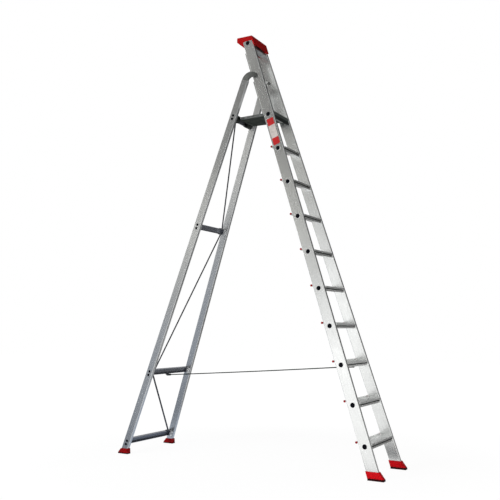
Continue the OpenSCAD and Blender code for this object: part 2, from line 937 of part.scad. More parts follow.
// Cord: a tube swept along the route, with extra rings between its points
function between(a, b, t) = a + (b - a) * t;
cord_rings = concat(
  [for (i = [0:len(cord_route) - 2], s = [0:cord_steps - 1])
    between(cord_route[i], cord_route[i + 1], s / cord_steps)],
  [cord_route[len(cord_route) - 1]]
);
cord_corners = [
  for (c = cord_rings, j = [0:cord_sides - 1])
    c + cord_r * [0, cos(360 * j / cord_sides), sin(360 * j / cord_sides)]
];
cord_last = len(cord_rings) - 1;
cord_skin = [
  for (i = [0:cord_last - 1], j = [0:cord_sides - 1])
    let (a = i * cord_sides + j, b = i * cord_sides + (j + 1) % cord_sides)
      each [[a, b + cord_sides, b], [a, a + cord_sides, b + cord_sides]]
];
cord_ends = [
  for (j = [1:cord_sides - 2])
    each [[0, j, j + 1], [cord_last * cord_sides, cord_last * cord_sides + j + 1, cord_last * cord_sides + j]]
];

module spreader_cord() {
  color("#1f2a24")
    polyhedron(points = cord_corners, faces = concat(cord_skin, cord_ends));
}

// Deck outline seen from above, drawn in by an inset, x measured from the axle
module deck_plan(inset) {
  polygon([
    [deck_front - inset, -deck_front_half + inset], [deck_front - inset, deck_front_half - inset],
    [-deck_back + inset, deck_rear_half - inset], [-deck_back + inset, -deck_rear_half + inset]
  ]);
}

// Hollow round the axle between the deck's ribs, and the bores of its bosses
module axle_room() {
  rod_y(boss_r + overrun, -deck_front_half, deck_front_half);
}

module platform_deck() {
  skirt_z = deck_rise - deck_skirt_h;
  rib_step = 2 * deck_rear_half / (deck_rib_count + 1);
  strip_step = 2 * deck_rear_half / strip_count;
  color("#2b302e")
    translate([axle_x, 0, axle_z])
      difference() {
        union() {
          translate([0, 0, deck_rise - deck_plate])
            linear_extrude(height = deck_plate)
              deck_plan(0);
          difference() {
            translate([0, 0, skirt_z])
              linear_extrude(height = deck_skirt_h)
                deck_plan(0);
            translate([0, 0, skirt_z - overrun])
              linear_extrude(height = deck_skirt_h)
                deck_plan(deck_wall);
          }
          difference() {
            for (i = [1:deck_rib_count])
              translate([-deck_back, -deck_rear_half + i * rib_step - deck_wall / 2, skirt_z])
                cube([deck_back + deck_front, deck_wall, deck_skirt_h]);
            axle_room();
          }
          for (i = [0:strip_count - 1])
            translate([-deck_back + strip_w, -deck_rear_half + i * strip_step, deck_rise - strip_h])
              translate([0, (strip_step - strip_w) / 2, 0])
                cube([deck_back + deck_front - 2 * strip_w, strip_w, 2 * strip_h]);
          on_both_sides() {
            rod_y(boss_r, -boss_in - boss_l, -boss_in);
            translate([-boss_wall, -boss_in - boss_l, 0])
              cube([2 * boss_wall, boss_l, deck_rise - deck_plate / 2]);
          }
        }
        rod_y(tube_r + axle_gap, -front_half(axle_z), front_half(axle_z));
        on_both_sides()
          rod_y(bush_r + seat_gap, -boss_in - boss_l - overrun, -boss_in + overrun);
      }
}

module hinge_bushes() {
  color("#d7d7d0")
    translate([axle_x, 0, axle_z])
      on_both_sides()
        difference() {
          rod_y(bush_r, -boss_in - boss_l, -boss_in);
          rod_y(tube_r + run_gap, -boss_in - boss_l - overrun, -boss_in + overrun);
        }
}

// Aluminium strip under the deck's front lip
module platform_nosing() {
  half = deck_front_half - overrun;
  top = deck_rise - deck_skirt_h - seat_gap;
  color("#b9bcbd")
    translate([axle_x, 0, axle_z])
      pull_y(-half, half)
        difference() {
          union() {
            translate([deck_front - nosing_t, top - nosing_h])
              square([nosing_t, nosing_h]);
            translate([deck_front - nosing_lip, top - tread_wall])
              square([nosing_lip, tread_wall]);
          }
          translate([deck_front - groove_d, top - nosing_h / 2 - groove_h / 2])
            square([groove_d + overrun, groove_h]);
        }
}

// Slotted strip on the deck's slanting side, behind the stile
module platform_rail(side) {
  side_run = [deck_back + deck_front, deck_front_half - deck_rear_half];
  side_turn = atan2(side_run[1], side_run[0]);
  strip_l = (deck_back - stile_half_x) / cos(side_turn) - 2 * strip_w;
  slot_step = strip_l / slot_count;
  color("#b9bcbd")
    on_side(side)
      translate([axle_x - deck_back, -deck_rear_half, axle_z + deck_rise - side_rail_drop - side_rail_h])
        rotate([0, 0, -side_turn])
          translate([strip_w, -side_rail_t - seat_gap, 0])
            difference() {
              cube([strip_l, side_rail_t, side_rail_h]);
              for (i = [0:slot_count - 1])
                translate([(i + (1 - slot_share) / 2) * slot_step, -overrun, (side_rail_h - slot_h) / 2])
                  cube([slot_step * slot_share, side_rail_t + 2 * overrun, slot_h]);
            }
}

// Point at radius r and an angle round the saddle's centre
function saddle_rim(r, angle) = [saddle_x + r * cos(angle), saddle_z + r * sin(angle)];

// Hook from the deck's rear wall over the saddle
module platform_hook(side) {
  r0 = saddle_r + body_gap;
  r1 = r0 + hook_t;
  top = axle_z + deck_rise - seat_gap;
  wall_x = axle_x - deck_back - seat_gap;
  lap_r = r0 + hook_t / 2;
  ring_out = saddle_rim(r1, hook_from);
  ring_in = saddle_rim(r0, hook_from);
  y0 = -saddle_out + saddle_l - hook_w - overrun;
  color("#242827")
    on_side(side) {
      pull_y(y0, y0 + hook_w)
        polygon([
          ring_in, saddle_rim(lap_r, hook_from + hook_lap), ring_out, [wall_x, top], [wall_x, top - hook_root_h],
          [wall_x - hook_t, top - hook_root_h], [wall_x - hook_t, top - hook_t]
        ]);
      translate([saddle_x, y0 + hook_w, saddle_z])
        rotate([90, 0, 0])
          rotate([0, 0, hook_from])
            rotate_extrude(angle = hook_to - hook_from)
              translate([r0, 0])
                square([hook_t, hook_w]);
    }
}

stile("left");  // left_stile
stile("right");  // right_stile
guard_strip("left");  // guard_strip_left
guard_strip("right");  // guard_strip_right
guard_head("left");  // guard_head_left
guard_head("right");  // guard_head_right
for (k = [1:tread_count]) tread(k);
tread_plugs();
front_foot("left");  // front_foot_left
front_foot("right");  // front_foot_right
top_rail();
top_cap();
hinge_bolt("left");  // hinge_bolt_left
hinge_bolt("right");  // hinge_bolt_right
hinge_nuts();
platform_axle();
cord_clamp_front();
spreader_cord();
rear_leg("left");  // rear_leg_left
rear_leg("right");  // rear_leg_right
rear_foot("left");  // rear_foot_left
rear_foot("right");  // rear_foot_right
crossbar(bottom_w);  // bottom_crossbar
crossbar(middle_w);  // middle_crossbar
crossbar(upper_w);  // upper_crossbar
crossbar(platform_w);  // platform_bar
brace(0);  // upper_brace
brace(1);  // middle_brace
brace(2);  // lower_brace
leg_bracket("left");  // leg_bracket_left
leg_bracket("right");  // leg_bracket_right
bar_rivets();
brace_rivets();
bracket_rivets();
bar_saddle("left");  // bar_saddle_left
bar_saddle("right");  // bar_saddle_right
cord_clamp_rear();
platform_deck();
platform_nosing();
platform_rail("left");  // platform_rail_left
platform_rail("right");  // platform_rail_right
platform_hook("left");  // platform_hook_left
platform_hook("right");  // platform_hook_right
hinge_bushes();
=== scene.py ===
"""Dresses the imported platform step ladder: camera, cord, finishes, softened mouldings and small hardware."""

import logging
import math
from dataclasses import dataclass
from enum import Enum
from typing import Iterable, Protocol, Sequence

import bmesh
import bpy
from mathutils import Matrix, Vector


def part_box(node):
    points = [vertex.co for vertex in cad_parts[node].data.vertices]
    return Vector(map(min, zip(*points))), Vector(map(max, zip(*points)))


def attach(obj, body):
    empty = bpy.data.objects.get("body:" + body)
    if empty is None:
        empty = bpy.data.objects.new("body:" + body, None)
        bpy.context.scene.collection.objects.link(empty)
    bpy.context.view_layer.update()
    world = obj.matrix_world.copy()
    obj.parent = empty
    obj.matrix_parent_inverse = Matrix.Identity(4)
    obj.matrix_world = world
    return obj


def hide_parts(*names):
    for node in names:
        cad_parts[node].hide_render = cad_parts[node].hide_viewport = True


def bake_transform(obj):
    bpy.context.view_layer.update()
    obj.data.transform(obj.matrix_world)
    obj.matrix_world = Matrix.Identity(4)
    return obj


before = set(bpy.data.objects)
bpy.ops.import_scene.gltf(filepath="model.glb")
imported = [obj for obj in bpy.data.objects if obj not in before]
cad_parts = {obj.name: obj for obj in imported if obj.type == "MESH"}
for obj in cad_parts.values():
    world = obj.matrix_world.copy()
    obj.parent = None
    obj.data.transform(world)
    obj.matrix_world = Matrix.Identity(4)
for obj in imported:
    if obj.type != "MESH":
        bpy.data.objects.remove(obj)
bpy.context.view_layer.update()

LOG = logging.getLogger("ladder")
Point = tuple[float, float, float]
Flat = tuple[float, float]
Level = tuple[float, float, Point]
Socket = bpy.types.NodeSocket

# Sizes that the solids have too, in metres and radians
MM = 0.001
SEAT = 0.00005
STANCE_L = 1.951
FRONT_FOOT_FORE = 0.057
REAR_FOOT_AFT = 0.040
FRONT_LEAN = math.radians(18.17)
TREADS = 9
TREAD_RISE = 0.240
FIRST_TREAD_Z = 0.193
AXLE_LIFT = 0.011
TOP_H = 0.566
RAIL_DROP = 0.018
HINGE_RISE = 0.303
HINGE_BACK = 0.018
HINGE_OFFSET = 0.054
FRONT_FLOOR_W = 0.451
FRONT_AXLE_W = 0.264
REAR_FLOOR_W = 0.569
REAR_PLATFORM_W = 0.311
PLATFORM_BAR_LIFT = 0.010
STILE_T = 0.025
LEG_T = 0.025
TAB_T = 0.003

# Places worked out from them
FRONT_X0 = STANCE_L / 2 - FRONT_FOOT_FORE
REAR_X0 = REAR_FOOT_AFT - STANCE_L / 2
AXLE_Z = FIRST_TREAD_Z + TREADS * TREAD_RISE + AXLE_LIFT
RAIL_Z = AXLE_Z + TOP_H - RAIL_DROP
FRONT_TAPER = (FRONT_FLOOR_W - FRONT_AXLE_W) / 2 / AXLE_Z
FRONT_SPLAY = math.atan(FRONT_TAPER * math.cos(FRONT_LEAN))
STILE_UP = 1 / math.cos(FRONT_LEAN) / math.cos(FRONT_SPLAY)
HINGE_Z = AXLE_Z + HINGE_RISE
HINGE_X = FRONT_X0 - HINGE_Z * math.tan(FRONT_LEAN) - HINGE_BACK
HINGE_REACH = math.hypot(HINGE_X - REAR_X0, HINGE_Z)
REAR_LEAN = math.atan2(HINGE_X - REAR_X0, HINGE_Z) - math.asin(HINGE_OFFSET / HINGE_REACH)
LEG_TOP_W = math.sqrt(HINGE_REACH ** 2 - HINGE_OFFSET ** 2) - HINGE_OFFSET
PLATFORM_BAR_W = (AXLE_Z + PLATFORM_BAR_LIFT) / math.cos(REAR_LEAN)
REAR_TAPER = (REAR_FLOOR_W - REAR_PLATFORM_W) / 2 / PLATFORM_BAR_W
REAR_SPLAY = math.atan(REAR_TAPER)
LEG_UP = 1 / math.cos(REAR_SPLAY)

# Turned profiles, as radius and height along the axis in millimetres
TUBE_PLUG = (
    (0, -6), (10.4, -6), (10.9, -5.4), (10.9, 3.6), (15.0, 3.6), (15.0, 4.2), (14.2, 4.8), (10.6, 4.8),
    (9.6, 2.4), (0, 1.6),
)
BEAD_PLUG = ((0, -6), (3.2, -6), (3.2, 0), (7.5, 0), (7.5, 1.0), (7.1, 1.9), (5.8, 2.6), (3.6, 2.9), (0, 3.0))
HINGE_BOLT = (
    (0, 1.4), (2.8, 1.4), (3.1, 0.1), (6, 0.4), (8.6, 1.3), (10.4, 2.9), (11, 4.6), (11, 6), (6, 6), (6, 61),
    (5.2, 62), (0, 62),
)
GUARD_RIVET = ((0, 0), (3.4, 0), (3.4, 0.4), (2.8, 1.0), (1.6, 1.4), (0, 1.5))
HOLLOW_RIVET = (
    (0, 0), (4.8, 0), (4.8, 0.5), (4.4, 1.1), (3.3, 1.8), (2.0, 2.1), (1.5, 2.0), (1.3, 1.1), (0, 1.1),
)
RIVET_CAP = ((0, 0), (9.0, 0), (9.0, 0.8), (8.2, 1.7), (6.2, 2.4), (3.1, 2.8), (0, 2.9))
DECK_STUD = ((0, -0.3), (2.7, -0.3), (2.7, 0.4), (2.1, 0.9), (1.2, 1.1), (0, 1.15))

# Rings of a tread tooth, as width, length and height in millimetres
TREAD_TOOTH = ((2.7, 4.2, -0.2), (2.7, 4.2, 0.05), (1.5, 2.6, 0.6))

# Ridged rubber strip in millimetres, its depths counted back from the nose it lies in
RIDGES = 7
RIDGE_PITCH = 1.1
VALLEY_DEPTH = 0.8
RIDGE_DEPTH = 0.2
STRIP_DEPTH = 1.4


def front_x(z: float) -> float:
    """Gives the stile axis's x at height z."""
    return FRONT_X0 - z * math.tan(FRONT_LEAN)


def front_half(z: float) -> float:
    """Gives half the climbing frame's outer width at height z."""
    return FRONT_FLOOR_W / 2 - z * FRONT_TAPER


def rear_half(w: float) -> float:
    """Gives half the rear frame's outer width at a distance up its lean."""
    return REAR_FLOOR_W / 2 - w * REAR_TAPER


def tread_heights() -> list[float]:
    """Gives the heights of the treads' tube axes."""
    return [FIRST_TREAD_Z + k * TREAD_RISE for k in range(TREADS)]


def rear_place() -> Matrix:
    """Gives the frame of the leaning rear frame."""
    return Matrix.Translation((REAR_X0, 0.0, 0.0)) @ Matrix.Rotation(REAR_LEAN, 4, "Y")


def ridged_strip(nose: float) -> list[Flat]:
    """Gives the outline of a ridged rubber strip.

    Args:
        nose: The x of the nose that the strip lies in, in millimetres.

    Returns:
        Points in x and z, in millimetres.
    """
    ridges = []
    for i in range(RIDGES):
        depth = RIDGE_DEPTH if i % 2 else VALLEY_DEPTH
        ridges.append((nose - depth, (i - (RIDGES - 1) / 2) * RIDGE_PITCH))
    root = nose - STRIP_DEPTH
    return [(root, ridges[0][1]), *ridges, (root, ridges[-1][1])]


class Body(Enum):
    """The moving bodies of the ladder."""

    CLIMBING = "climbing_frame"
    REAR = "rear_frame"
    PLATFORM = "platform"


class Side(Enum):
    """The ladder's left and right, as the sign of Y."""

    LEFT = -1
    RIGHT = 1

    def of(self, name: str) -> str:
        """Gives a CAD node's full name on this side."""
        return f"{name}_{self.name.lower()}"

    def outwards(self) -> Matrix:
        """Turns +Z away from the ladder's middle."""
        return Matrix.Rotation(-self.value * math.pi / 2, 4, "X")

    def inwards(self) -> Matrix:
        """Turns +Z towards the ladder's middle."""
        return Matrix.Rotation(self.value * math.pi / 2, 4, "X")

    def stile(self) -> Matrix:
        """Gives the frame of this side's stile.

        Returns:
            A frame with z up the stile's outer face and x to the front.
        """
        lean = Matrix.Translation((FRONT_X0, 0.0, 0.0)) @ Matrix.Rotation(-FRONT_LEAN, 4, "Y")
        shift = Matrix.Translation((0.0, self.value * front_half(0.0), 0.0))
        return lean @ shift @ Matrix.Rotation(self.value * FRONT_SPLAY, 4, "X")

    def leg(self) -> Matrix:
        """Gives the frame of this side's rear leg: z up its outer face, x to the front."""
        shift = Matrix.Translation((0.0, self.value * rear_half(0.0), 0.0))
        return rear_place() @ shift @ Matrix.Rotation(self.value * REAR_SPLAY, 4, "X")


class Grain(Enum):
    """Direction of a drawn metal's streaks, as turns about X, Y and Z that lay them along a member."""

    STILE = (0.0, FRONT_LEAN, 0.0)
    LEG = (0.0, -REAR_LEAN, 0.0)
    ACROSS = (math.pi / 2, 0.0, 0.0)


def tinted(colour: Sequence[float], factor: float) -> Point:
    """Gives a colour made lighter or darker by a factor."""
    return tuple(part * factor for part in colour)


def seen_rays(tree: bpy.types.NodeTree) -> Socket:
    """Tells the rays that see white from those that light the ladder.

    Args:
        tree: The node tree that the test is added to.

    Returns:
        An output that is 1 for camera, glossy and transmission rays, and 0 for others.
    """
    rays = tree.nodes.new("ShaderNodeLightPath")
    seen = rays.outputs["Is Camera Ray"]
    for name in ("Is Glossy Ray", "Is Transmission Ray"):
        either = tree.nodes.new("ShaderNodeMath")
        either.operation = "MAXIMUM"
        tree.links.new(seen, either.inputs[0])
        tree.links.new(rays.outputs[name], either.inputs[1])
        seen = either.outputs[0]
    return seen


class NodeTree:
    """A material's node tree, with short calls for adding and joining nodes."""

    mottle_stops: Flat = (0.38, 0.62)
    noise_range: Flat = (0.3, 0.7)

    def __init__(self, name: str) -> None:
        """Makes an empty material with a Principled shader.

        Args:
            name: The material's name.
        """
        self.material = bpy.data.materials.new(name)
        self.material.use_nodes = True
        self.tree = self.material.node_tree
        self.shader = self.tree.nodes["Principled BSDF"]

    def add(self, kind: str, **settings: object) -> bpy.types.Node:
        """Adds a node and sets its properties and input values.

        Args:
            kind: The node's type name.
            **settings: Properties by name, and input values by socket name with spaces as underscores.

        Returns:
            The new node.
        """
        node = self.tree.nodes.new(kind)
        for key, value in settings.items():
            if hasattr(node, key):
                setattr(node, key, value)
            else:
                node.inputs[key.replace("_", " ")].default_value = value
        return node

    def join(self, source: Socket, target: Socket) -> None:
        """Joins an output to an input."""
        self.tree.links.new(source, target)

    def paint(self, source: Socket) -> None:
        """Drives the shader's colour."""
        self.join(source, self.shader.inputs["Base Color"])

    def surface(self, source: Socket) -> None:
        """Makes an output the material's surface in the shader's place."""
        self.join(source, self.tree.nodes["Material Output"].inputs["Surface"])

    def coordinates(self, turn: Point = (0.0, 0.0, 0.0), scale: Point = (1.0, 1.0, 1.0)) -> Socket:
        """Gives object coordinates, turned and scaled.

        Args:
            turn: Turns about X, Y and Z in radians.
            scale: Scale along each axis after the turn.

        Returns:
            The vector output.
        """
        place = self.add("ShaderNodeTexCoord")
        turned = self.add("ShaderNodeMapping")
        turned.inputs["Rotation"].default_value = turn
        self.join(place.outputs["Object"], turned.inputs["Vector"])
        sized = self.add("ShaderNodeMapping")
        sized.inputs["Scale"].default_value = scale
        self.join(turned.outputs["Vector"], sized.inputs["Vector"])
        return sized.outputs["Vector"]

    def noise(self, vector: Socket, scale: float, detail: float) -> Socket:
        """Adds a noise texture.

        Args:
            vector: Where the noise is read.
            scale: Its scale.
            detail: Its number of octaves.

        Returns:
            The value output.
        """
        node = self.add("ShaderNodeTexNoise", Scale=scale, Detail=detail)
        self.join(vector, node.inputs["Vector"])
        return node.outputs["Fac"]

    def ramp(
        self, value: Socket, stops: Sequence[tuple[float, Sequence[float]]], steps: bool = False
    ) -> Socket:
        """Maps a value to colours.

        Args:
            value: The value that is mapped.
            stops: Places and colours of the ramp.
            steps: Whether the colours change at once and not gradually.

        Returns:
            The colour output.
        """
        node = self.add("ShaderNodeValToRGB")
        elements = node.color_ramp.elements
        if steps:
            node.color_ramp.interpolation = "CONSTANT"
        while len(elements) < len(stops):
            elements.new(0.5)
        while len(elements) > len(stops):
            elements.remove(elements[-1])
        for element, (place, colour) in zip(elements, stops):
            element.position = place
            element.color = (*colour, 1.0)
        self.join(value, node.inputs["Fac"])
        return node.outputs["Color"]

    def mottle(self, value: Socket, colour: Point, darker: float, lighter: float) -> Socket:
        """Varies a colour with a noise.

        Args:
            value: The noise.
            colour: The colour in the middle.
            darker: Factor of the colour where the noise is low.
            lighter: Factor of the colour where the noise is high.

        Returns:
            The colour output.
        """
        low, high = self.mottle_stops
        return self.ramp(value, [(low, tinted(colour, darker)), (high, tinted(colour, lighter))])

    def span(self, value: Socket, low: float, high: float, source: Flat = noise_range) -> Socket:
        """Maps a value to another range.

        Args:
            value: The value that is mapped.
            low: The result at the source range's start.
            high: The result at its end.
            source: The source range, a noise's middle range unless given.

        Returns:
            The mapped value.
        """
        node = self.add("ShaderNodeMapRange")
        node.inputs["From Min"].default_value = source[0]
        node.inputs["From Max"].default_value = source[1]
        node.inputs["To Min"].default_value = low
        node.inputs["To Max"].default_value = high
        self.join(value, node.inputs["Value"])
        return node.outputs["Result"]

    def blend(self, one: Socket, two: Socket, share: float) -> Socket:
        """Mixes two values.

        Args:
            one: The first value.
            two: The second value.
            share: The share of the second value.

        Returns:
            The mixed value.
        """
        node = self.add("ShaderNodeMix", data_type="FLOAT")
        node.inputs["Factor"].default_value = share
        self.join(one, node.inputs["A"])
        self.join(two, node.inputs["B"])
        return node.outputs["Result"]

    def bump(self, height: Socket, strength: float, distance: float) -> None:
        """Drives the shader's normal from a height.

        Args:
            height: The height.
            strength: How strongly the normal follows it.
            distance: The height of a full step in metres.
        """
        node = self.add("ShaderNodeBump", Strength=strength, Distance=distance)
        self.join(height, node.inputs["Height"])
        self.join(node.outputs["Normal"], self.shader.inputs["Normal"])

    def gloss(self, roughness: float | Socket, **values: float) -> None:
        """Sets how the shader reflects.

        Args:
            roughness: A value, or an output that drives it.
            **values: Further shader inputs by socket name with spaces as underscores.
        """
        if isinstance(roughness, Socket):
            self.join(roughness, self.shader.inputs["Roughness"])
        else:
            self.shader.inputs["Roughness"].default_value = roughness
        for key, value in values.items():
            self.shader.inputs[key.replace("_", " ")].default_value = value


class Finish(Protocol):
    """What the paint shop needs of a finish."""

    name: str

    def material(self) -> bpy.types.Material:
        """Builds the material."""


@dataclass(frozen=True)
class DrawnMetal:
    """Drawn or extruded metal with fine streaks along the member, a slight mottling and hairline scuffs."""

    name: str
    colour: Point
    grain: Grain
    metallic: float = 0.96
    roughness: float = 0.33
    contrast: float = 0.05
    duller: float = 0.04
    shinier: float = 0.03
    streak: float = 0.008
    streak_depth: float = 0.0002
    streak_scale: Point = (260.0, 260.0, 2.0)
    cloud_scale: float = 5.0
    cloud_share: float = 0.5
    scuff_turn: Point = (0.4, 0.3, 0.2)
    scuff_scale: Point = (90.0, 90.0, 9.0)
    scuff_share: float = 0.25

    def material(self) -> bpy.types.Material:
        """Builds the material.

        Returns:
            The material.
        """
        nodes = NodeTree(self.name)
        lines = nodes.noise(nodes.coordinates(self.grain.value, self.streak_scale), scale=1.0, detail=4.0)
        cloud = nodes.noise(nodes.coordinates(), self.cloud_scale, detail=6.0)
        scuffs = nodes.noise(nodes.coordinates(self.scuff_turn, self.scuff_scale), scale=1.0, detail=6.0)
        mixed = nodes.blend(nodes.blend(lines, cloud, self.cloud_share), scuffs, self.scuff_share)
        nodes.paint(nodes.mottle(mixed, self.colour, 1.0 - self.contrast, 1.0 + self.contrast))
        rough = nodes.span(mixed, self.roughness + self.duller, self.roughness - self.shinier)
        nodes.gloss(rough, Metallic=self.metallic)
        nodes.bump(lines, self.streak, self.streak_depth)
        return nodes.material


@dataclass(frozen=True)
class Moulding:
    """Moulded plastic with a fine spark grain, faint flow marks and scuffs; a foot has a dark sole."""

    name: str
    colour: Point
    roughness: float = 0.45
    specular: float = 0.15
    shinier: float = 0.06
    duller: float = 0.08
    spark_scale: float = 700.0
    spark: float = 0.06
    spark_depth: float = 0.0002
    flow_turn: Point = (0.2, 0.1, 0.0)
    flow_scale: Point = (14.0, 40.0, 40.0)
    cloud_scale: float = 26.0
    cloud_share: float = 0.5
    scuff: float = 0.12
    sole: float = 0.0
    sole_colour: Point = (0.03, 0.004, 0.005)
    sole_blur: float = 0.0005

    def material(self) -> bpy.types.Material:
        """Builds the material.

        Returns:
            The material.
        """
        nodes = NodeTree(self.name)
        fine = nodes.noise(nodes.coordinates(), self.spark_scale, detail=2.0)
        flow = nodes.noise(nodes.coordinates(self.flow_turn, self.flow_scale), scale=1.0, detail=5.0)
        cloud = nodes.noise(nodes.coordinates(), self.cloud_scale, detail=6.0)
        wide = nodes.blend(flow, cloud, self.cloud_share)
        colour = nodes.mottle(wide, self.colour, 1.0 - self.scuff, 1.0 + self.scuff)
        nodes.paint(self.soled(nodes, colour) if self.sole else colour)
        rough = nodes.span(wide, self.roughness - self.shinier, self.roughness + self.duller)
        nodes.gloss(rough, Specular_IOR_Level=self.specular)
        nodes.bump(fine, self.spark, self.spark_depth)
        return nodes.material

    def soled(self, nodes: NodeTree, colour: Socket) -> Socket:
        """Darkens a colour below the sole's height.

        Args:
            nodes: The material's nodes.
            colour: The colour above the sole.

        Returns:
            The colour output.
        """
        parts = nodes.add("ShaderNodeSeparateXYZ")
        nodes.join(nodes.coordinates(), parts.inputs["Vector"])
        edge = (self.sole - self.sole_blur, self.sole + self.sole_blur)
        above = nodes.span(parts.outputs["Z"], 0.0, 1.0, edge)
        mix = nodes.add("ShaderNodeMix", data_type="RGBA")
        mix.inputs["A"].default_value = (*self.sole_colour, 1.0)
        nodes.join(above, mix.inputs["Factor"])
        nodes.join(colour, mix.inputs["B"])
        return mix.outputs["Result"]


@dataclass(frozen=True)
class CastMetal:
    """Coated casting with a sandy skin."""

    name: str
    colour: Point
    metallic: float = 0.3
    specular: float = 0.25
    roughness: float = 0.5
    shinier: float = 0.06
    duller: float = 0.08
    darker: float = 0.88
    lighter: float = 1.14
    sand_scale: float = 420.0
    sand: float = 0.1
    sand_depth: float = 0.0003
    cloud_scale: float = 18.0

    def material(self) -> bpy.types.Material:
        """Builds the material.

        Returns:
            The material.
        """
        nodes = NodeTree(self.name)
        sand = nodes.noise(nodes.coordinates(), self.sand_scale, detail=4.0)
        cloud = nodes.noise(nodes.coordinates(), self.cloud_scale, detail=5.0)
        nodes.paint(nodes.mottle(cloud, self.colour, self.darker, self.lighter))
        rough = nodes.span(sand, self.roughness - self.shinier, self.roughness + self.duller)
        nodes.gloss(rough, Metallic=self.metallic, Specular_IOR_Level=self.specular)
        nodes.bump(sand, self.sand, self.sand_depth)
        return nodes.material


@dataclass(frozen=True)
class Braid:
    """Braided cord fibre, its strands laid on the cord's own UV map."""

    name: str
    colour: Point
    roughness: float = 0.85
    specular: float = 0.15
    strand_scale: float = 1.6
    strand_stops: Flat = (0.2, 0.8)
    strand: float = 0.6
    strand_depth: float = 0.0006
    darker: float = 0.6
    lighter: float = 1.7

    def material(self) -> bpy.types.Material:
        """Builds the material.

        Returns:
            The material.
        """
        nodes = NodeTree(self.name)
        place = nodes.add("ShaderNodeUVMap", uv_map="cord")
        wave = nodes.add("ShaderNodeTexWave", wave_type="BANDS", bands_direction="DIAGONAL")
        wave.inputs["Scale"].default_value = self.strand_scale
        nodes.join(place.outputs["UV"], wave.inputs["Vector"])
        strand = wave.outputs["Fac"]
        low, high = self.strand_stops
        dark, light = tinted(self.colour, self.darker), tinted(self.colour, self.lighter)
        nodes.paint(nodes.ramp(strand, [(low, dark), (high, light)]))
        nodes.gloss(self.roughness, Specular_IOR_Level=self.specular)
        nodes.bump(strand, self.strand, self.strand_depth)
        return nodes.material


@dataclass(frozen=True)
class BlankPatch:
    """Plain film with a coloured band at each end and nothing on it, laid on the patch's own UV map."""

    name: str
    colour: Point
    band: Point
    band_share: float
    roughness: float = 0.4
    specular: float = 0.2
    wear_scale: float = 60.0
    wear_stops: Flat = (0.35, 0.6)
    worn: float = 0.82

    def material(self) -> bpy.types.Material:
        """Builds the material.

        Returns:
            The material.
        """
        nodes = NodeTree(self.name)
        place = nodes.add("ShaderNodeUVMap", uv_map="patch")
        parts = nodes.add("ShaderNodeSeparateXYZ")
        nodes.join(place.outputs["UV"], parts.inputs["Vector"])
        stops = [(0.0, self.band), (self.band_share, self.colour), (1.0 - self.band_share, self.band)]
        zones = nodes.ramp(parts.outputs["Y"], stops, steps=True)
        low, high = self.wear_stops
        noise = nodes.noise(nodes.coordinates(), self.wear_scale, detail=5.0)
        wear = nodes.ramp(noise, [(low, tinted(WHITE, self.worn)), (high, WHITE)])
        mix = nodes.add("ShaderNodeMix", data_type="RGBA", blend_type="MULTIPLY")
        mix.inputs["Factor"].default_value = 1.0
        nodes.join(zones, mix.inputs["A"])
        nodes.join(wear, mix.inputs["B"])
        nodes.paint(mix.outputs["Result"])
        nodes.gloss(self.roughness, Specular_IOR_Level=self.specular)
        return nodes.material


# Tints of cards and films
WHITE = (1.0, 1.0, 1.0)
COOL = (0.90, 1.0, 1.18)
WARM = (1.01, 1.0, 0.96)

# Finishes of the ladder's pieces
STILE_METAL = DrawnMetal("stile_aluminium", (0.80, 0.81, 0.80), Grain.STILE, roughness=0.25)
# Paler and less metallic than the stile aluminium: the extra paleness is painted light for the lit tread tops.
TREAD_METAL_PAINTED_LIGHT = DrawnMetal("tread_aluminium", (0.88, 0.89, 0.88), Grain.ACROSS, metallic=0.85, roughness=0.28)
LEG_METAL = DrawnMetal("leg_aluminium", (0.62, 0.63, 0.63), Grain.LEG, roughness=0.28)
# Darker aluminium for the rails and the platform axle; on the top rail, the same kind of profile as the
# treads, the darkness is painted shade under the cap.
RAIL_METAL_AND_SHADE = DrawnMetal("rail_aluminium", (0.34, 0.35, 0.35), Grain.ACROSS, roughness=0.4)
# The crossbars' aluminium darkened well below its bright tabs: painted shade in the channels.
BAR_METAL_PAINTED_SHADE = DrawnMetal("bar_aluminium", (0.20, 0.21, 0.235), Grain.ACROSS, roughness=0.42)
BRACE_METAL = DrawnMetal("brace_aluminium", (0.075, 0.08, 0.09), Grain.ACROSS, roughness=0.42)
TAB_METAL = DrawnMetal("tab_aluminium", (0.80, 0.81, 0.80), Grain.LEG, metallic=0.6, roughness=0.5)
FASTENER_METAL = DrawnMetal("fastener_steel", (0.11, 0.115, 0.11), Grain.ACROSS)
RIVET_METAL = DrawnMetal("rivet_steel", (0.42, 0.43, 0.44), Grain.ACROSS, roughness=0.4)
BRACKET_METAL = CastMetal("bracket_grey", (0.12, 0.125, 0.118))
RED_PLASTIC = Moulding("red_plastic", (0.37, 0.004, 0.005), specular=0.05)
FOOT_PLASTIC = Moulding("foot_plastic", (0.55, 0.004, 0.008), specular=0.06, sole=0.013)
# The front feet's red plastic darkened: painted shade on the rear feet.
REAR_FOOT_PLASTIC_PAINTED_SHADE = Moulding("rear_foot_plastic", (0.29, 0.003, 0.004), specular=0.06, sole=0.007)
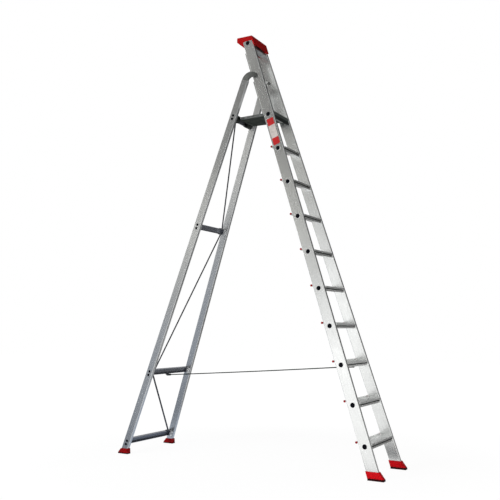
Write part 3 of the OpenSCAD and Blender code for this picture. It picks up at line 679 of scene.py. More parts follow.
# Red plastic darkened: painted shade of the stiles over the bead plugs.
PLUG_PLASTIC_PAINTED_SHADE = Moulding("plug_plastic", (0.30, 0.008, 0.010), specular=0.06)
BLACK_PLASTIC = Moulding("black_plastic", (0.014, 0.017, 0.0155), roughness=0.55)
CAP_PLASTIC = Moulding("cap_plastic", (0.004, 0.0045, 0.007), roughness=0.75, specular=0.05)
DECK_PLASTIC = Moulding("deck_plastic", (0.075, 0.088, 0.08), roughness=0.5)
RUBBER = Moulding("nose_rubber", (0.03, 0.033, 0.03), roughness=0.7, specular=0.1)
BUSH_PLASTIC = Moulding("bush_plastic", (0.62, 0.62, 0.58))
CORD_FIBRE = Braid("cord_fibre", (0.015, 0.025, 0.020))
PATCH_FILM = BlankPatch("patch_film", (0.62, 0.56, 0.53), (0.50, 0.008, 0.010), 0.26)


def link(name: str, data: bpy.types.ID) -> bpy.types.Object:
    """Puts a new object in the scene.

    Args:
        name: The object's name.
        data: Its mesh, lamp or camera.

    Returns:
        The object.
    """
    made = bpy.data.objects.new(name, data)
    bpy.context.scene.collection.objects.link(made)
    return made


class PaintShop:
    """Keeps one material for each finish and puts it on pieces."""

    def __init__(self) -> None:
        """Starts with no material made."""
        self.made: dict[str, bpy.types.Material] = {}

    def get(self, finish: Finish) -> bpy.types.Material:
        """Gives a finish's material, building it the first time.

        Args:
            finish: The finish.

        Returns:
            The material.
        """
        if finish.name not in self.made:
            self.made[finish.name] = finish.material()
        return self.made[finish.name]

    def coat(self, piece: bpy.types.Object, finish: Finish) -> None:
        """Puts a finish on every face of a piece."""
        piece.data.materials.clear()
        piece.data.materials.append(self.get(finish))

    def coat_nodes(self, names: Iterable[str], finish: Finish) -> None:
        """Puts a finish on CAD nodes by name."""
        for name in names:
            self.coat(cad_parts[name], finish)

    def coat_pair(self, name: str, finish: Finish) -> None:
        """Puts a finish on the left and the right one of a CAD node."""
        self.coat_nodes([side.of(name) for side in Side], finish)


class Workshop:
    """Makes closed mesh pieces and hands them to the frame."""

    merge_dist: float = 1e-6
    bevel_merge_dist: float = 1e-7
    flat_angle: float = math.radians(0.6)
    sharp_angle: float = math.radians(32)
    bevel_profile: float = 0.6

    def __init__(self, shop: PaintShop) -> None:
        """Starts with a paint shop and no scatter tree.

        Args:
            shop: Where the pieces get their finishes.
        """
        self.shop = shop
        self.tree: bpy.types.GeometryNodeTree | None = None

    @staticmethod
    def skin(bm: bmesh.types.BMesh, rings: Sequence[Sequence[Vector]], closed: bool = False) -> None:
        """Joins rings of points into a closed skin; a ring of one point is a tip.

        Args:
            bm: The mesh that is added to.
            rings: Rings with equal counts, or tips.
            closed: Whether the last ring joins the first one again.
        """
        loops = [[bm.verts.new(p) for p in ring] for ring in rings]
        pairs = list(zip(loops, loops[1:])) + ([(loops[-1], loops[0])] if closed else [])
        for one, two in pairs:
            count = max(len(one), len(two))
            for j in range(count):
                k = (j + 1) % count
                corners = [one[j % len(one)], two[j % len(two)], two[k % len(two)], one[k % len(one)]]
                bm.faces.new(list(dict.fromkeys(corners)))

    def lathe(
        self, profile: Sequence[Flat], sides: int = 24, place: Matrix = Matrix()
    ) -> bmesh.types.BMesh:
        """Turns a profile about the place's z axis.

        Args:
            profile: Radii and heights in millimetres.
            sides: Number of faces around.
            place: Where the axis stands.

        Returns:
            The mesh in the making.
        """
        rings = []
        for radius, height in profile:
            angles = [2 * math.pi * j / sides for j in range(sides if radius else 1)]
            rings.append([
                place @ (MM * Vector((radius * math.cos(a), radius * math.sin(a), height))) for a in angles
            ])
        bm = bmesh.new()
        self.skin(bm, rings)
        return bm

    @staticmethod
    def prism(
        bm: bmesh.types.BMesh, outline: Sequence[Flat], low: float, high: float, place: Matrix = Matrix()
    ) -> None:
        """Pulls an outline along y.

        Args:
            bm: The mesh that is added to.
            outline: Points in x and z, in millimetres.
            low: Where the prism starts, in millimetres.
            high: Where it ends, in millimetres.
            place: Where the prism is set.
        """
        ends = [[bm.verts.new(place @ (MM * Vector((x, y, z)))) for x, z in outline] for y in (low, high)]
        for j in range(len(outline)):
            k = (j + 1) % len(outline)
            bm.faces.new((ends[0][j], ends[0][k], ends[1][k], ends[1][j]))
        for end in ends:
            bm.faces.new(end)

    @staticmethod
    def rounded(width: float, height: float, radius: float, steps: int = 4) -> list[Flat]:
        """Gives a rectangle's outline with round corners, about its middle.

        Args:
            width: Its size in x.
            height: Its size in z.
            radius: The corners' radius.
            steps: Number of edges along a corner.

        Returns:
            The outline's points.
        """
        out = []
        for turn, (sx, sz) in enumerate([(1, 1), (-1, 1), (-1, -1), (1, -1)]):
            cx, cz = sx * (width / 2 - radius), sz * (height / 2 - radius)
            for i in range(steps + 1):
                a = math.pi / 2 * (turn + i / steps)
                out.append((cx + radius * math.cos(a), cz + radius * math.sin(a)))
        return out

    def piece(
        self, name: str, bm: bmesh.types.BMesh, finish: Finish, crease: float = 35.0
    ) -> bpy.types.Object:
        """Turns a mesh in the making into a coated piece with smooth faces and sharp creases.

        Args:
            name: The piece's name.
            bm: The mesh, which is freed.
            finish: The piece's finish.
            crease: Angle in degrees above which an edge stays sharp.

        Returns:
            The piece, linked to the scene.
        """
        bmesh.ops.recalc_face_normals(bm, faces=bm.faces)
        for face in bm.faces:
            face.smooth = True
        mesh = bpy.data.meshes.new(name)
        bm.to_mesh(mesh)
        bm.free()
        mesh.set_sharp_from_angle(angle=math.radians(crease))
        piece = link(name, mesh)
        self.shop.coat(piece, finish)
        return piece

    @staticmethod
    def hand_over(piece: bpy.types.Object, body: Body, slot: str, *nodes: str) -> None:
        """Hands a finished piece to the frame.

        Args:
            piece: The piece.
            body: The body that carries it.
            slot: Its material slot; not used.
            *nodes: The CAD nodes it stands for.
        """
        LOG.info("%s rides on %s", piece.name, body.value)
        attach(piece, body.value)
        if nodes:
            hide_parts(*nodes)

    def soften(self, node: str, finish: Finish, width: float, segments: int = 2) -> bpy.types.Object:
        """Makes a copy of a CAD node with its outward edges rounded.

        Args:
            node: The CAD node's name.
            finish: The copy's finish.
            width: Width of the rounding in millimetres.
            segments: Number of faces across a rounding.

        Returns:
            The copy.
        """
        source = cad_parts[node]
        bm = bmesh.new()
        bm.from_mesh(source.data)
        bm.transform(source.matrix_world)
        bmesh.ops.remove_doubles(bm, verts=bm.verts, dist=self.merge_dist)
        bmesh.ops.dissolve_limit(bm, angle_limit=self.flat_angle, verts=bm.verts, edges=bm.edges)
        sharp = [
            e for e in bm.edges if e.is_manifold and e.is_convex and e.calc_face_angle(0.0) > self.sharp_angle
        ]
        bmesh.ops.bevel(
            bm, geom=sharp, offset=width * MM, offset_type="OFFSET", segments=segments,
            profile=self.bevel_profile, affect="EDGES", clamp_overlap=True,
        )
        bmesh.ops.remove_doubles(bm, verts=bm.verts, dist=self.bevel_merge_dist)
        bmesh.ops.triangulate(bm, faces=[f for f in bm.faces if len(f.verts) > 4])
        unclosed = sum(not e.is_manifold for e in bm.edges)
        LOG.info("%s softened, %d faces, %d open edges", node, len(bm.faces), unclosed)
        return self.piece(f"{node}_soft", bm, finish)

    @staticmethod
    def scatter_tree() -> bpy.types.GeometryNodeTree:
        """Builds the tree that sets a shape on every point, turned by the point's own attribute.

        Returns:
            The tree.
        """
        tree = bpy.data.node_groups.new("scatter", "GeometryNodeTree")
        face = tree.interface
        face.new_socket("Places", in_out="INPUT", socket_type="NodeSocketGeometry")
        face.new_socket("Shape", in_out="INPUT", socket_type="NodeSocketObject")
        face.new_socket("Finish", in_out="INPUT", socket_type="NodeSocketMaterial")
        face.new_socket("Size", in_out="INPUT", socket_type="NodeSocketFloat")
        face.new_socket("Result", in_out="OUTPUT", socket_type="NodeSocketGeometry")
        add, join = tree.nodes.new, tree.links.new
        into, out = add("NodeGroupInput"), add("NodeGroupOutput")
        shape = add("GeometryNodeObjectInfo")
        turn = add("GeometryNodeInputNamedAttribute")
        turn.data_type = "FLOAT_VECTOR"
        turn.inputs["Name"].default_value = "turn"
        euler = add("FunctionNodeEulerToRotation")
        on = add("GeometryNodeInstanceOnPoints")
        real = add("GeometryNodeRealizeInstances")
        coat = add("GeometryNodeSetMaterial")
        join(into.outputs["Places"], on.inputs["Points"])
        join(into.outputs["Shape"], shape.inputs["Object"])
        join(shape.outputs["Geometry"], on.inputs["Instance"])
        join(turn.outputs["Attribute"], euler.inputs["Euler"])
        join(euler.outputs["Rotation"], on.inputs["Rotation"])
        join(into.outputs["Size"], on.inputs["Scale"])
        join(on.outputs["Instances"], real.inputs["Geometry"])
        join(real.outputs["Geometry"], coat.inputs["Geometry"])
        join(into.outputs["Finish"], coat.inputs["Material"])
        join(coat.outputs["Geometry"], out.inputs["Result"])
        return tree

    def scatter(
        self, name: str, shape: bmesh.types.BMesh, places: Sequence[Matrix], finish: Finish, size: float = 1.0
    ) -> bpy.types.Object:
        """Sets copies of a shape at places through the scatter tree, and makes one plain mesh of them.

        Args:
            name: The piece's name.
            shape: The repeated shape, which is freed.
            places: Where the copies go and how they are turned.
            finish: The copies' finish.
            size: Scale of the shape.

        Returns:
            The piece.
        """
        self.tree = self.tree or self.scatter_tree()
        pattern = self.piece(f"{name}_pattern", shape, finish)
        mesh = bpy.data.meshes.new(f"{name}_places")
        mesh.from_pydata([place.to_translation() for place in places], [], [])
        turns = mesh.attributes.new("turn", "FLOAT_VECTOR", "POINT")
        for i, place in enumerate(places):
            turns.data[i].vector = place.to_euler("XYZ")
        points = link(f"{name}_places", mesh)
        modifier = points.modifiers.new("scatter", "NODES")
        modifier.node_group = self.tree
        inputs = [item for item in self.tree.interface.items_tree if item.in_out == "INPUT"]
        ids = {item.name: item.identifier for item in inputs}
        modifier[ids["Shape"]] = pattern
        modifier[ids["Finish"]] = self.shop.get(finish)
        modifier[ids["Size"]] = size
        done = points.evaluated_get(bpy.context.evaluated_depsgraph_get())
        made = bpy.data.meshes.new_from_object(done)
        made.name = name
        piece = link(name, made)
        for spare in (points, pattern):
            bpy.data.objects.remove(spare)
        LOG.info("%s: %d copies, %d faces", name, len(places), len(made.polygons))
        return piece


@dataclass
class PhotoCamera:
    """The photograph's camera, from the fit of the ladder to measured points."""

    place: Point = (2.4321, -4.4132, 0.9109)
    yaw: float = math.radians(29.5465)
    pitch: float = math.radians(5.9827)
    roll: float = math.radians(0.4269)
    focal_px: float = 721.622
    frame_px: float = 500.0
    sensor_mm: float = 36.0
    sight: float = 100.0

    def build(self) -> None:
        """Makes the camera and sets it as the scene's."""
        data = bpy.data.cameras.new("photo_camera")
        data.sensor_fit = "HORIZONTAL"
        data.sensor_width = self.sensor_mm
        data.lens = self.focal_px / self.frame_px * self.sensor_mm
        data.clip_end = self.sight
        camera = link("photo_camera", data)
        reach = math.cos(self.pitch)
        ahead = Vector((-math.sin(self.yaw) * reach, math.cos(self.yaw) * reach, math.sin(self.pitch)))
        level = Vector((math.cos(self.yaw), math.sin(self.yaw), 0.0))
        above = level.cross(ahead)
        right = math.cos(self.roll) * level + math.sin(self.roll) * above
        up = -math.sin(self.roll) * level + math.cos(self.roll) * above
        turn = Matrix((right, up, -ahead)).transposed().to_4x4()
        camera.matrix_world = Matrix.Translation(self.place) @ turn
        bpy.context.scene.camera = camera


@dataclass(frozen=True)
class Card:
    """A grey card that only reflections see: its corners, and its brightness and tint by height in metres."""

    name: str
    corners: tuple[Point, Point, Point, Point]
    levels: tuple[Level, ...]

    @classmethod
    def upright(
        cls, name: str, y: float, start: float, stop: float, top: float, levels: tuple[Level, ...]
    ) -> "Card":
        """Stands a card on the floor, along x.

        Args:
            name: The card's name.
            y: Where it stands.
            start: The x of one side.
            stop: The x of the other side.
            top: Its height.
            levels: Heights, and the brightness and tint there.

        Returns:
            The card.
        """
        return cls(name, ((start, y, 0.0), (stop, y, 0.0), (stop, y, top), (start, y, top)), levels)

    @classmethod
    def lying(
        cls, name: str, lift: float, plan: tuple[Flat, Flat, Flat, Flat], level: float, tint: Point
    ) -> "Card":
        """Lays a card of one grey just above the floor.

        Args:
            name: The card's name.
            lift: Its height above the floor.
            plan: Its corners in x and y.
            level: Its brightness.
            tint: Its tint.

        Returns:
            The card.
        """
        return cls(name, tuple((*corner, lift) for corner in plan), ((0.0, level, tint),))


@dataclass(frozen=True)
class Lamp:
    """A square soft lamp: where it hangs, the point it faces, its side length and its power in watts."""

    name: str
    place: Point
    aim: Point
    size: float
    power: float


# The studio's cards: before the ladder, behind it, and on the floor
CARD_TOP = 14.0
NEAR_WALL_Y = -6.0
FAR_LEG_Y = -5.95
FAR_WALL_Y = 5.0
CARDS = (
    Card.upright("card_stiles", NEAR_WALL_Y, 4.0, -3.6, CARD_TOP, (
        (1.2, 1.34, WHITE), (1.7, 1.0, WHITE), (2.2, 0.57, WHITE), (2.8, 0.38, WARM), (3.3, 0.28, WARM),
        (3.9, 0.18, WARM), (4.6, 0.09, WHITE), (6.1, 0.03, WHITE),
    )),
    Card("card_far_leg", (
        (-3.2, FAR_LEG_Y, 2.4), (-4.15, FAR_LEG_Y, 2.4), (-4.05, FAR_LEG_Y, 3.5), (-3.1, FAR_LEG_Y, 3.5),
    ), ((2.4, 1.9, WARM), (3.5, 1.9, WARM))),
    Card.upright("card_mid", NEAR_WALL_Y, -3.6, -4.6, CARD_TOP, (
        (0.0, 0.17, COOL), (0.8, 0.18, COOL), (1.5, 0.18, COOL), (2.1, 0.25, WARM), (2.7, 0.40, WARM),
        (5.0, 0.48, WARM),
    )),
    Card.upright("card_legs", NEAR_WALL_Y, -4.6, -10.0, CARD_TOP, (
        (0.0, 0.20, COOL), (0.8, 0.36, COOL), (1.5, 0.46, COOL), (2.3, 0.47, WARM), (3.5, 0.44, WARM),
        (5.0, 0.50, WARM),
    )),
    Card("card_fronts", (
        (8.0, FAR_WALL_Y, 0.0), (1.3, FAR_WALL_Y, 0.0), (-4.0, FAR_WALL_Y, CARD_TOP),
        (8.0, FAR_WALL_Y, CARD_TOP),
    ), ((0.6, 0.3, WHITE), (1.2, 0.16, WHITE), (2.0, 0.09, WHITE), (3.0, 0.05, WHITE))),
    Card.lying("card_low", 0.0035, ((0.75, 0.2), (1.9, 0.2), (3.6, 5.0), (1.6, 5.0)), 0.12, WHITE),
    Card.lying("card_under", 0.003, ((-9.0, 2.2), (0.6, 2.2), (1.8, 13.0), (-9.0, 13.0)), 0.06, WHITE),
    Card.lying("card_back", 0.002, ((-9.0, -6.0), (-3.0, -6.0), (-0.8, 0.2), (-5.0, 0.2)), 0.44, COOL),
    Card.lying("card_shade", 0.0023, ((-2.8, -2.4), (-1.2, -2.4), (-0.8, 0.15), (-2.8, 0.15)), 0.24, COOL),
    Card.lying("card_step", 0.0025, ((-1.8, -0.25), (-0.55, -0.25), (0.0, 0.7), (-2.0, 0.7)), 0.55, COOL),
    Card.lying("card_inner", 0.002, ((-0.9, 0.7), (0.15, 0.7), (2.75, 4.6), (1.2, 4.6)), 0.32, WHITE),
    Card.lying("card_foot", 0.002, ((0.25, -0.45), (1.1, -0.45), (1.1, -0.03), (0.4, -0.03)), 0.04, COOL),
)
LAMPS = (
    Lamp("key", (-2.0, -4.5, 4.2), (0.0, 0.0, 2.4), 2.5, 150.0),
    Lamp("low", (1.9, -2.2, 0.5), (0.8, 0.0, 0.1), 0.9, 22.0),
    Lamp("top", (0.3, -2.0, 6.0), (0.0, 0.0, 1.0), 4.0, 45.0),
)


@dataclass
class Studio:
    """Plain white studio: floor, world, soft lamps and grey cards that the metal mirrors."""

    fill: float = 0.27
    floor_half: float = 14.0
    floor_grey: float = 0.9
    floor_roughness: float = 0.9
    floor_glow: float = 1.03
    glow_share: float = 0.92
    fade: Flat = (1.2, 2.6)

    def world(self) -> None:
        """Lights the room evenly and shows white to the camera and in reflections."""
        world = bpy.data.worlds.new("studio")
        bpy.context.scene.world = world
        world.use_nodes = True
        tree = world.node_tree
        tree.nodes.clear()
        out = tree.nodes.new("ShaderNodeOutputWorld")
        dim = tree.nodes.new("ShaderNodeBackground")
        dim.inputs["Strength"].default_value = self.fill
        white = tree.nodes.new("ShaderNodeBackground")
        white.inputs["Color"].default_value = (*WHITE, 1.0)
        mix = tree.nodes.new("ShaderNodeMixShader")
        tree.links.new(seen_rays(tree), mix.inputs["Fac"])
        tree.links.new(dim.outputs[0], mix.inputs[1])
        tree.links.new(white.outputs[0], mix.inputs[2])
        tree.links.new(mix.outputs[0], out.inputs["Surface"])

    def floor(self) -> None:
        """Lays a white floor that keeps a faint shadow near the ladder and fades into the backdrop."""
        mesh = bpy.data.meshes.new("floor")
        h = self.floor_half
        mesh.from_pydata([(-h, -h, 0), (h, -h, 0), (h, h, 0), (-h, h, 0)], [], [(0, 1, 2, 3)])
        floor = link("floor", mesh)
        nodes = NodeTree("floor_white")
        nodes.shader.inputs["Base Color"].default_value = (*tinted(WHITE, self.floor_grey), 1.0)
        nodes.gloss(self.floor_roughness)
        glow = nodes.add("ShaderNodeEmission", Strength=self.floor_glow)
        place = nodes.add("ShaderNodeTexCoord")
        reach = nodes.add("ShaderNodeVectorMath", operation="LENGTH")
        nodes.join(place.outputs["Object"], reach.inputs[0])
        share = nodes.add("ShaderNodeMath", operation="MULTIPLY")
        nodes.join(seen_rays(nodes.tree), share.inputs[0])
        nodes.join(nodes.span(reach.outputs["Value"], self.glow_share, 1.0, self.fade), share.inputs[1])
        mix = nodes.add("ShaderNodeMixShader")
        nodes.join(share.outputs[0], mix.inputs["Fac"])
        nodes.join(nodes.shader.outputs[0], mix.inputs[1])
        nodes.join(glow.outputs[0], mix.inputs[2])
        nodes.surface(mix.outputs[0])
        mesh.materials.append(nodes.material)

    @staticmethod
    def hang_card(card: Card) -> None:
        """Hangs a card that is seen in reflections only.

        Args:
            card: The card.
        """
        mesh = bpy.data.meshes.new(card.name)
        mesh.from_pydata(card.corners, [], [(0, 1, 2, 3)])
        made = link(card.name, mesh)
        nodes = NodeTree(card.name)
        place = nodes.add("ShaderNodeTexCoord")
        parts = nodes.add("ShaderNodeSeparateXYZ")
        nodes.join(place.outputs["Object"], parts.inputs["Vector"])
        height = nodes.span(parts.outputs["Z"], 0.0, 1.0, (0.0, CARD_TOP))
        stops = [(z / CARD_TOP, tinted(tint, level)) for z, level, tint in card.levels]
        glow = nodes.add("ShaderNodeEmission")
        nodes.join(nodes.ramp(height, stops), glow.inputs["Color"])
        nodes.surface(glow.outputs[0])
        mesh.materials.append(nodes.material)
        made.visible_camera = False
        made.visible_diffuse = False
        made.visible_shadow = False
        made.visible_transmission = False

    @staticmethod
    def hang_lamp(lamp: Lamp) -> None:
        """Hangs a lamp that reflections don't show.

        Args:
            lamp: The lamp.
        """
        data = bpy.data.lights.new(lamp.name, "AREA")
        data.size = lamp.size
        data.energy = lamp.power
        made = link(lamp.name, data)
        made.location = lamp.place
        made.rotation_euler = (Vector(lamp.aim) - Vector(lamp.place)).to_track_quat("-Z", "Y").to_euler()
        made.visible_glossy = False

    def build(self) -> None:
        """Sets up the view, world, floor, cards and lamps."""
        bpy.context.scene.view_settings.view_transform = "Standard"
        self.world()
        self.floor()
        for card in CARDS:
            self.hang_card(card)
        for lamp in LAMPS:
            self.hang_lamp(lamp)


@dataclass
class SpreaderCord:
    """The cord that keeps the frames from spreading, from the middle crossbar to the third tread."""

    radius: float = 0.0035
    sides: int = 12
    points: int = 20
    rings_per_point: int = 6
    start: Point = (-0.752732, 0.0, 0.545638)
    stop: Point = (0.672619, 0.0, 0.652)
    sag: float = 0.003

    def route(self) -> list[Vector]:
        """Gives the cord's points, as the solid has them.

        Returns:
            Points from the rear clamp to the front one.
        """
        a, b = Vector(self.start), Vector(self.stop)
        out = []
        for i in range(self.points + 1):
            t = i / self.points
            out.append(a.lerp(b, t) - Vector((0.0, 0.0, 4 * self.sag * t * (1 - t))))
        return out

    def tube(self, route: Sequence[Vector]) -> bmesh.types.BMesh:
        """Makes the closed tube with a UV map along its length.

        Args:
            route: The cord's points.

        Returns:
            The mesh in the making.
        """
        rings: list[Vector] = []
        for a, b in zip(route, route[1:]):
            rings.extend(a.lerp(b, s / self.rings_per_point) for s in range(self.rings_per_point))
        rings.append(route[-1])
        turns = [2 * math.pi * j / self.sides for j in range(self.sides)]
        spokes = [self.radius * Vector((0.0, math.cos(a), math.sin(a))) for a in turns]
        bm = bmesh.new()
        loops = [[bm.verts.new(centre + spoke) for spoke in spokes] for centre in rings]
        uv = bm.loops.layers.uv.new("cord")
        along = 0.0
        for i, (one, two) in enumerate(zip(loops, loops[1:])):
            step = (rings[i + 1] - rings[i]).length
            for j in range(self.sides):
                k = (j + 1) % self.sides
                face = bm.faces.new((one[j], two[j], two[k], one[k]))
                face.smooth = True
                corners = [(along, j), (along + step, j), (along + step, j + 1), (along, j + 1)]
                for loop, (reach, turn) in zip(face.loops, corners):
                    loop[uv].uv = (reach / (2 * self.radius), turn / self.sides * math.pi)
            along += step
        bm.faces.new(loops[0])
        bm.faces.new(list(reversed(loops[-1])))
        bmesh.ops.recalc_face_normals(bm, faces=bm.faces)
        return bm

    def build(self, shop: PaintShop) -> None:
        """Makes the cord and hides the CAD cord that it stands for.

        Args:
            shop: Where the cord gets its finish.
        """
        route = self.route()
        bm = self.tube(route)
        mesh = bpy.data.meshes.new("spreader_cord_braid")
        bm.to_mesh(mesh)
        bm.free()
        cord = link("spreader_cord_braid", mesh)
        shop.coat(cord, CORD_FIBRE)
        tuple(self.stop)
        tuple(self.start)
        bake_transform(cord)
        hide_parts("spreader_cord")
        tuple(self.start)


@dataclass
class ClimbingFrame:
    """Stiles, treads, feet, top rail and cap; lengths that end in mm are in millimetres."""

    foot_round_mm: float = 3.0
    cap_round_mm: float = 3.5
    cap_segments: int = 3
    plug_inset: float = 0.001
    bead_back: float = 0.058
    bead_up: float = 0.019
    bead_inset: float = 0.012
    plate_gap: float = 0.0014
    rib_count: int = 8
    first_rib_mm: float = -53.5
    rib_pitch_mm: float = 11.75
    rib_top: float = 0.0162
    tooth_step_mm: float = 9.0
    nose_mm: float = 36.0
    strip_gap_mm: float = 0.6
    bolt_sides: int = 32
    bolt_head_y: float = 0.145415
    nut_y: float = 0.09436
    nut_sides: int = 36
    nut_t_mm: float = 8.0
    nut_flat_mm: float = 8.66
    nut_corner_mm: float = 10.0
    nut_face_mm: float = 9.1
    nut_bore_mm: float = 6.05
    nut_chamfer_mm: float = 0.7
    nut_crease: float = 25.0
    guard_t: float = 0.002
    guard_rivet_x: float = -0.026
    guard_rivet_sides: int = 16
    guard_rivet_shares: Point = (0.15, 0.5, 0.85)
    patch_low: float = 2.142
    patch_high: float = 2.331
    patch_w_mm: float = 50.0
    patch_round_mm: float = 5.0
    patch_gap_mm: float = 0.03
    patch_t_mm: float = 0.42

    def build(self, works: Workshop) -> None:
        """Makes the climbing frame's own pieces.

        Args:
            works: Where the pieces are made.
        """
        for side in Side:
            node = side.of("front_foot")
            foot = works.soften(node, FOOT_PLASTIC, self.foot_round_mm)
            works.hand_over(foot, Body.CLIMBING, "red_plastic", node)
        cap = works.soften("top_cap", RED_PLASTIC, self.cap_round_mm, self.cap_segments)
        works.hand_over(cap, Body.CLIMBING, "red_plastic", "top_cap")
        self.tube_plugs(works)
        self.bead_plugs(works)
        self.teeth(works)
        self.nose_strips(works)
        self.hinge_bolts(works)
        self.hinge_nuts(works)
        self.guard_rivets(works)
        self.patch(works)

    def tube_plugs(self, works: Workshop) -> None:
        """Closes the ends of the tubes with dished plugs.

        Args:
            works: Where the plugs are made.
        """
        places = []
        for z in tread_heights() + [AXLE_Z, RAIL_Z]:
            for side in Side:
                spot = (front_x(z), side.value * (front_half(z) - self.plug_inset), z)
                places.append(Matrix.Translation(spot) @ side.outwards())
        piece = works.scatter("tube_end_plugs", works.lathe(TUBE_PLUG), places, CAP_PLASTIC)
        works.hand_over(piece, Body.CLIMBING, "black_plastic")

    def bead_plugs(self, works: Workshop) -> None:
        """Puts domed red plugs, their red darkened as painted shade, on the treads' rear beads.

        Args:
            works: Where the plugs are made.
        """
        places = []
        for z in tread_heights():
            for side in Side:
                y = side.value * (front_half(z) - self.bead_inset + SEAT)
                spot = (front_x(z) - self.bead_back, y, z + self.bead_up)
                places.append(Matrix.Translation(spot) @ side.outwards())
        piece = works.scatter("bead_plugs", works.lathe(BEAD_PLUG), places, PLUG_PLASTIC_PAINTED_SHADE)
        works.hand_over(piece, Body.CLIMBING, "red_plastic", "tread_plugs")

    def plate_half(self, z: float) -> float:
        """Gives half the length of the tread plate at height z."""
        return front_half(z) - STILE_T / math.cos(FRONT_SPLAY) - self.plate_gap

    def teeth(self, works: Workshop) -> None:
        """Sets a row of low teeth for grip on each of the treads' ribs.

        Args:
            works: Where the teeth are made.
        """
        rings = []
        for width, length, height in TREAD_TOOTH:
            rings.append([
                MM * Vector((sx * width / 2, sy * length / 2, height))
                for sx, sy in ((1, 1), (-1, 1), (-1, -1), (1, -1))
            ])
        root, tip = ([MM * Vector((0, 0, ring[2]))] for ring in (TREAD_TOOTH[0], TREAD_TOOTH[-1]))
        shape = bmesh.new()
        works.skin(shape, [root, *rings, tip])
        places = []
        for z in tread_heights():
            count = int(2 * self.plate_half(z) / (self.tooth_step_mm * MM)) - 1
            for rib in range(self.rib_count):
                x = front_x(z) + (self.first_rib_mm + self.rib_pitch_mm * rib) * MM
                for i in range(count):
                    y = (i - (count - 1) / 2) * self.tooth_step_mm * MM
                    places.append(Matrix.Translation((x, y, z + self.rib_top)))
        # The teeth share the treads' paler aluminium, whose extra paleness is painted light.
        piece = works.scatter("tread_teeth", shape, places, TREAD_METAL_PAINTED_LIGHT)
        works.hand_over(piece, Body.CLIMBING, "tread_aluminium")

    def nose_strips(self, works: Workshop) -> None:
        """Lays a ridged rubber strip in the groove of every tread's nose.

        Args:
            works: Where the strips are made.
        """
        bm = bmesh.new()
        outline = ridged_strip(self.nose_mm)
        for z in tread_heights():
            half = self.plate_half(z) / MM - self.strip_gap_mm
            works.prism(bm, outline, -half, half, Matrix.Translation((front_x(z), 0.0, z)))
        piece = works.piece("tread_nose_strips", bm, RUBBER)
        works.hand_over(piece, Body.CLIMBING, "black_plastic")

    def hinge_bolts(self, works: Workshop) -> None:
        """Makes the domed hinge bolts.

        Args:
            works: Where the bolts are made.
        """
        for side in Side:
            place = Matrix.Translation((HINGE_X, side.value * self.bolt_head_y, HINGE_Z)) @ side.inwards()
            name = side.of("hinge_bolt")
            bm = works.lathe(HINGE_BOLT, self.bolt_sides, place)
            piece = works.piece(f"{name}_domed", bm, BRACKET_METAL)
            works.hand_over(piece, Body.CLIMBING, "bracket_grey", name)

    def hinge_nuts(self, works: Workshop) -> None:
        """Makes the bolts' chamfered nuts.

        Args:
            works: Where the nuts are made.
        """
        top, chamfer = self.nut_t_mm, self.nut_chamfer_mm
        outside = [
            (0.0, self.nut_face_mm), (chamfer, self.nut_corner_mm),
            (top - chamfer, self.nut_corner_mm), (top, self.nut_face_mm),
        ]
        bore = [(top, self.nut_bore_mm), (0.0, self.nut_bore_mm)]
        third, sixth = math.pi / 3, math.pi / 6
        bm = bmesh.new()
        for side in Side:
            place = Matrix.Translation((HINGE_X, side.value * self.nut_y, HINGE_Z)) @ side.inwards()
            rings = []
            for height, limit in outside + bore:
                ring = []
                for j in range(self.nut_sides):
                    a = 2 * math.pi * j / self.nut_sides
                    hexagon = self.nut_flat_mm / math.cos((a + sixth) % third - sixth)
                    radius = min(hexagon, limit)
                    ring.append(place @ (MM * Vector((radius * math.cos(a), radius * math.sin(a), height))))
                rings.append(ring)
            works.skin(bm, rings, closed=True)
        piece = works.piece("hinge_nuts_chamfered", bm, FASTENER_METAL, self.nut_crease)
        works.hand_over(piece, Body.CLIMBING, "fastener_steel", "hinge_nuts")

    def guard_rivets(self, works: Workshop) -> None:
        """Sets small rivet heads along the guard strips and heads.

        Args:
            works: Where the rivets are made.
        """
        depth = STILE_T + self.guard_t + 2 * SEAT
        places = []
        for side in Side:
            for guard in ("guard_strip", "guard_head"):
                low, high = (corner[2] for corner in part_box(side.of(guard)))
                for share in self.guard_rivet_shares:
                    z = low + (high - low) * share
                    spot = Matrix.Translation((self.guard_rivet_x, -side.value * depth, z * STILE_UP))
                    places.append(side.stile() @ spot @ side.inwards())
        shape = works.lathe(GUARD_RIVET, self.guard_rivet_sides)
        piece = works.scatter("guard_rivets", shape, places, FASTENER_METAL)
        works.hand_over(piece, Body.CLIMBING, "fastener_steel")

    def patch(self, works: Workshop) -> None:
        """Sticks a plain blank patch on the left stile's outer face.

        Args:
            works: Where the patch is made.
        """
        width = self.patch_w_mm
        length = (self.patch_high - self.patch_low) * STILE_UP / MM
        middle = (self.patch_low + self.patch_high) / 2 * STILE_UP
        bm = bmesh.new()
        outline = works.rounded(width, length, self.patch_round_mm)
        works.prism(bm, outline, -self.patch_gap_mm - self.patch_t_mm, -self.patch_gap_mm)
        uv = bm.loops.layers.uv.new("patch")
        for face in bm.faces:
            for loop in face.loops:
                loop[uv].uv = (loop.vert.co.x / MM / width + 0.5, loop.vert.co.z / MM / length + 0.5)
        bm.transform(Side.LEFT.stile() @ Matrix.Translation((0.0, 0.0, middle)))
        works.hand_over(works.piece("blank_patch", bm, PATCH_FILM), Body.CLIMBING, "bush_plastic")

    def dress(self, shop: PaintShop) -> None:
        """Puts the finishes on the climbing frame's CAD pieces.

        Args:
            shop: Where the pieces get their finishes.
        """
        shop.coat_nodes(["left_stile", "right_stile"], STILE_METAL)
        shop.coat_pair("guard_strip", STILE_METAL)
        shop.coat_pair("guard_head", STILE_METAL)
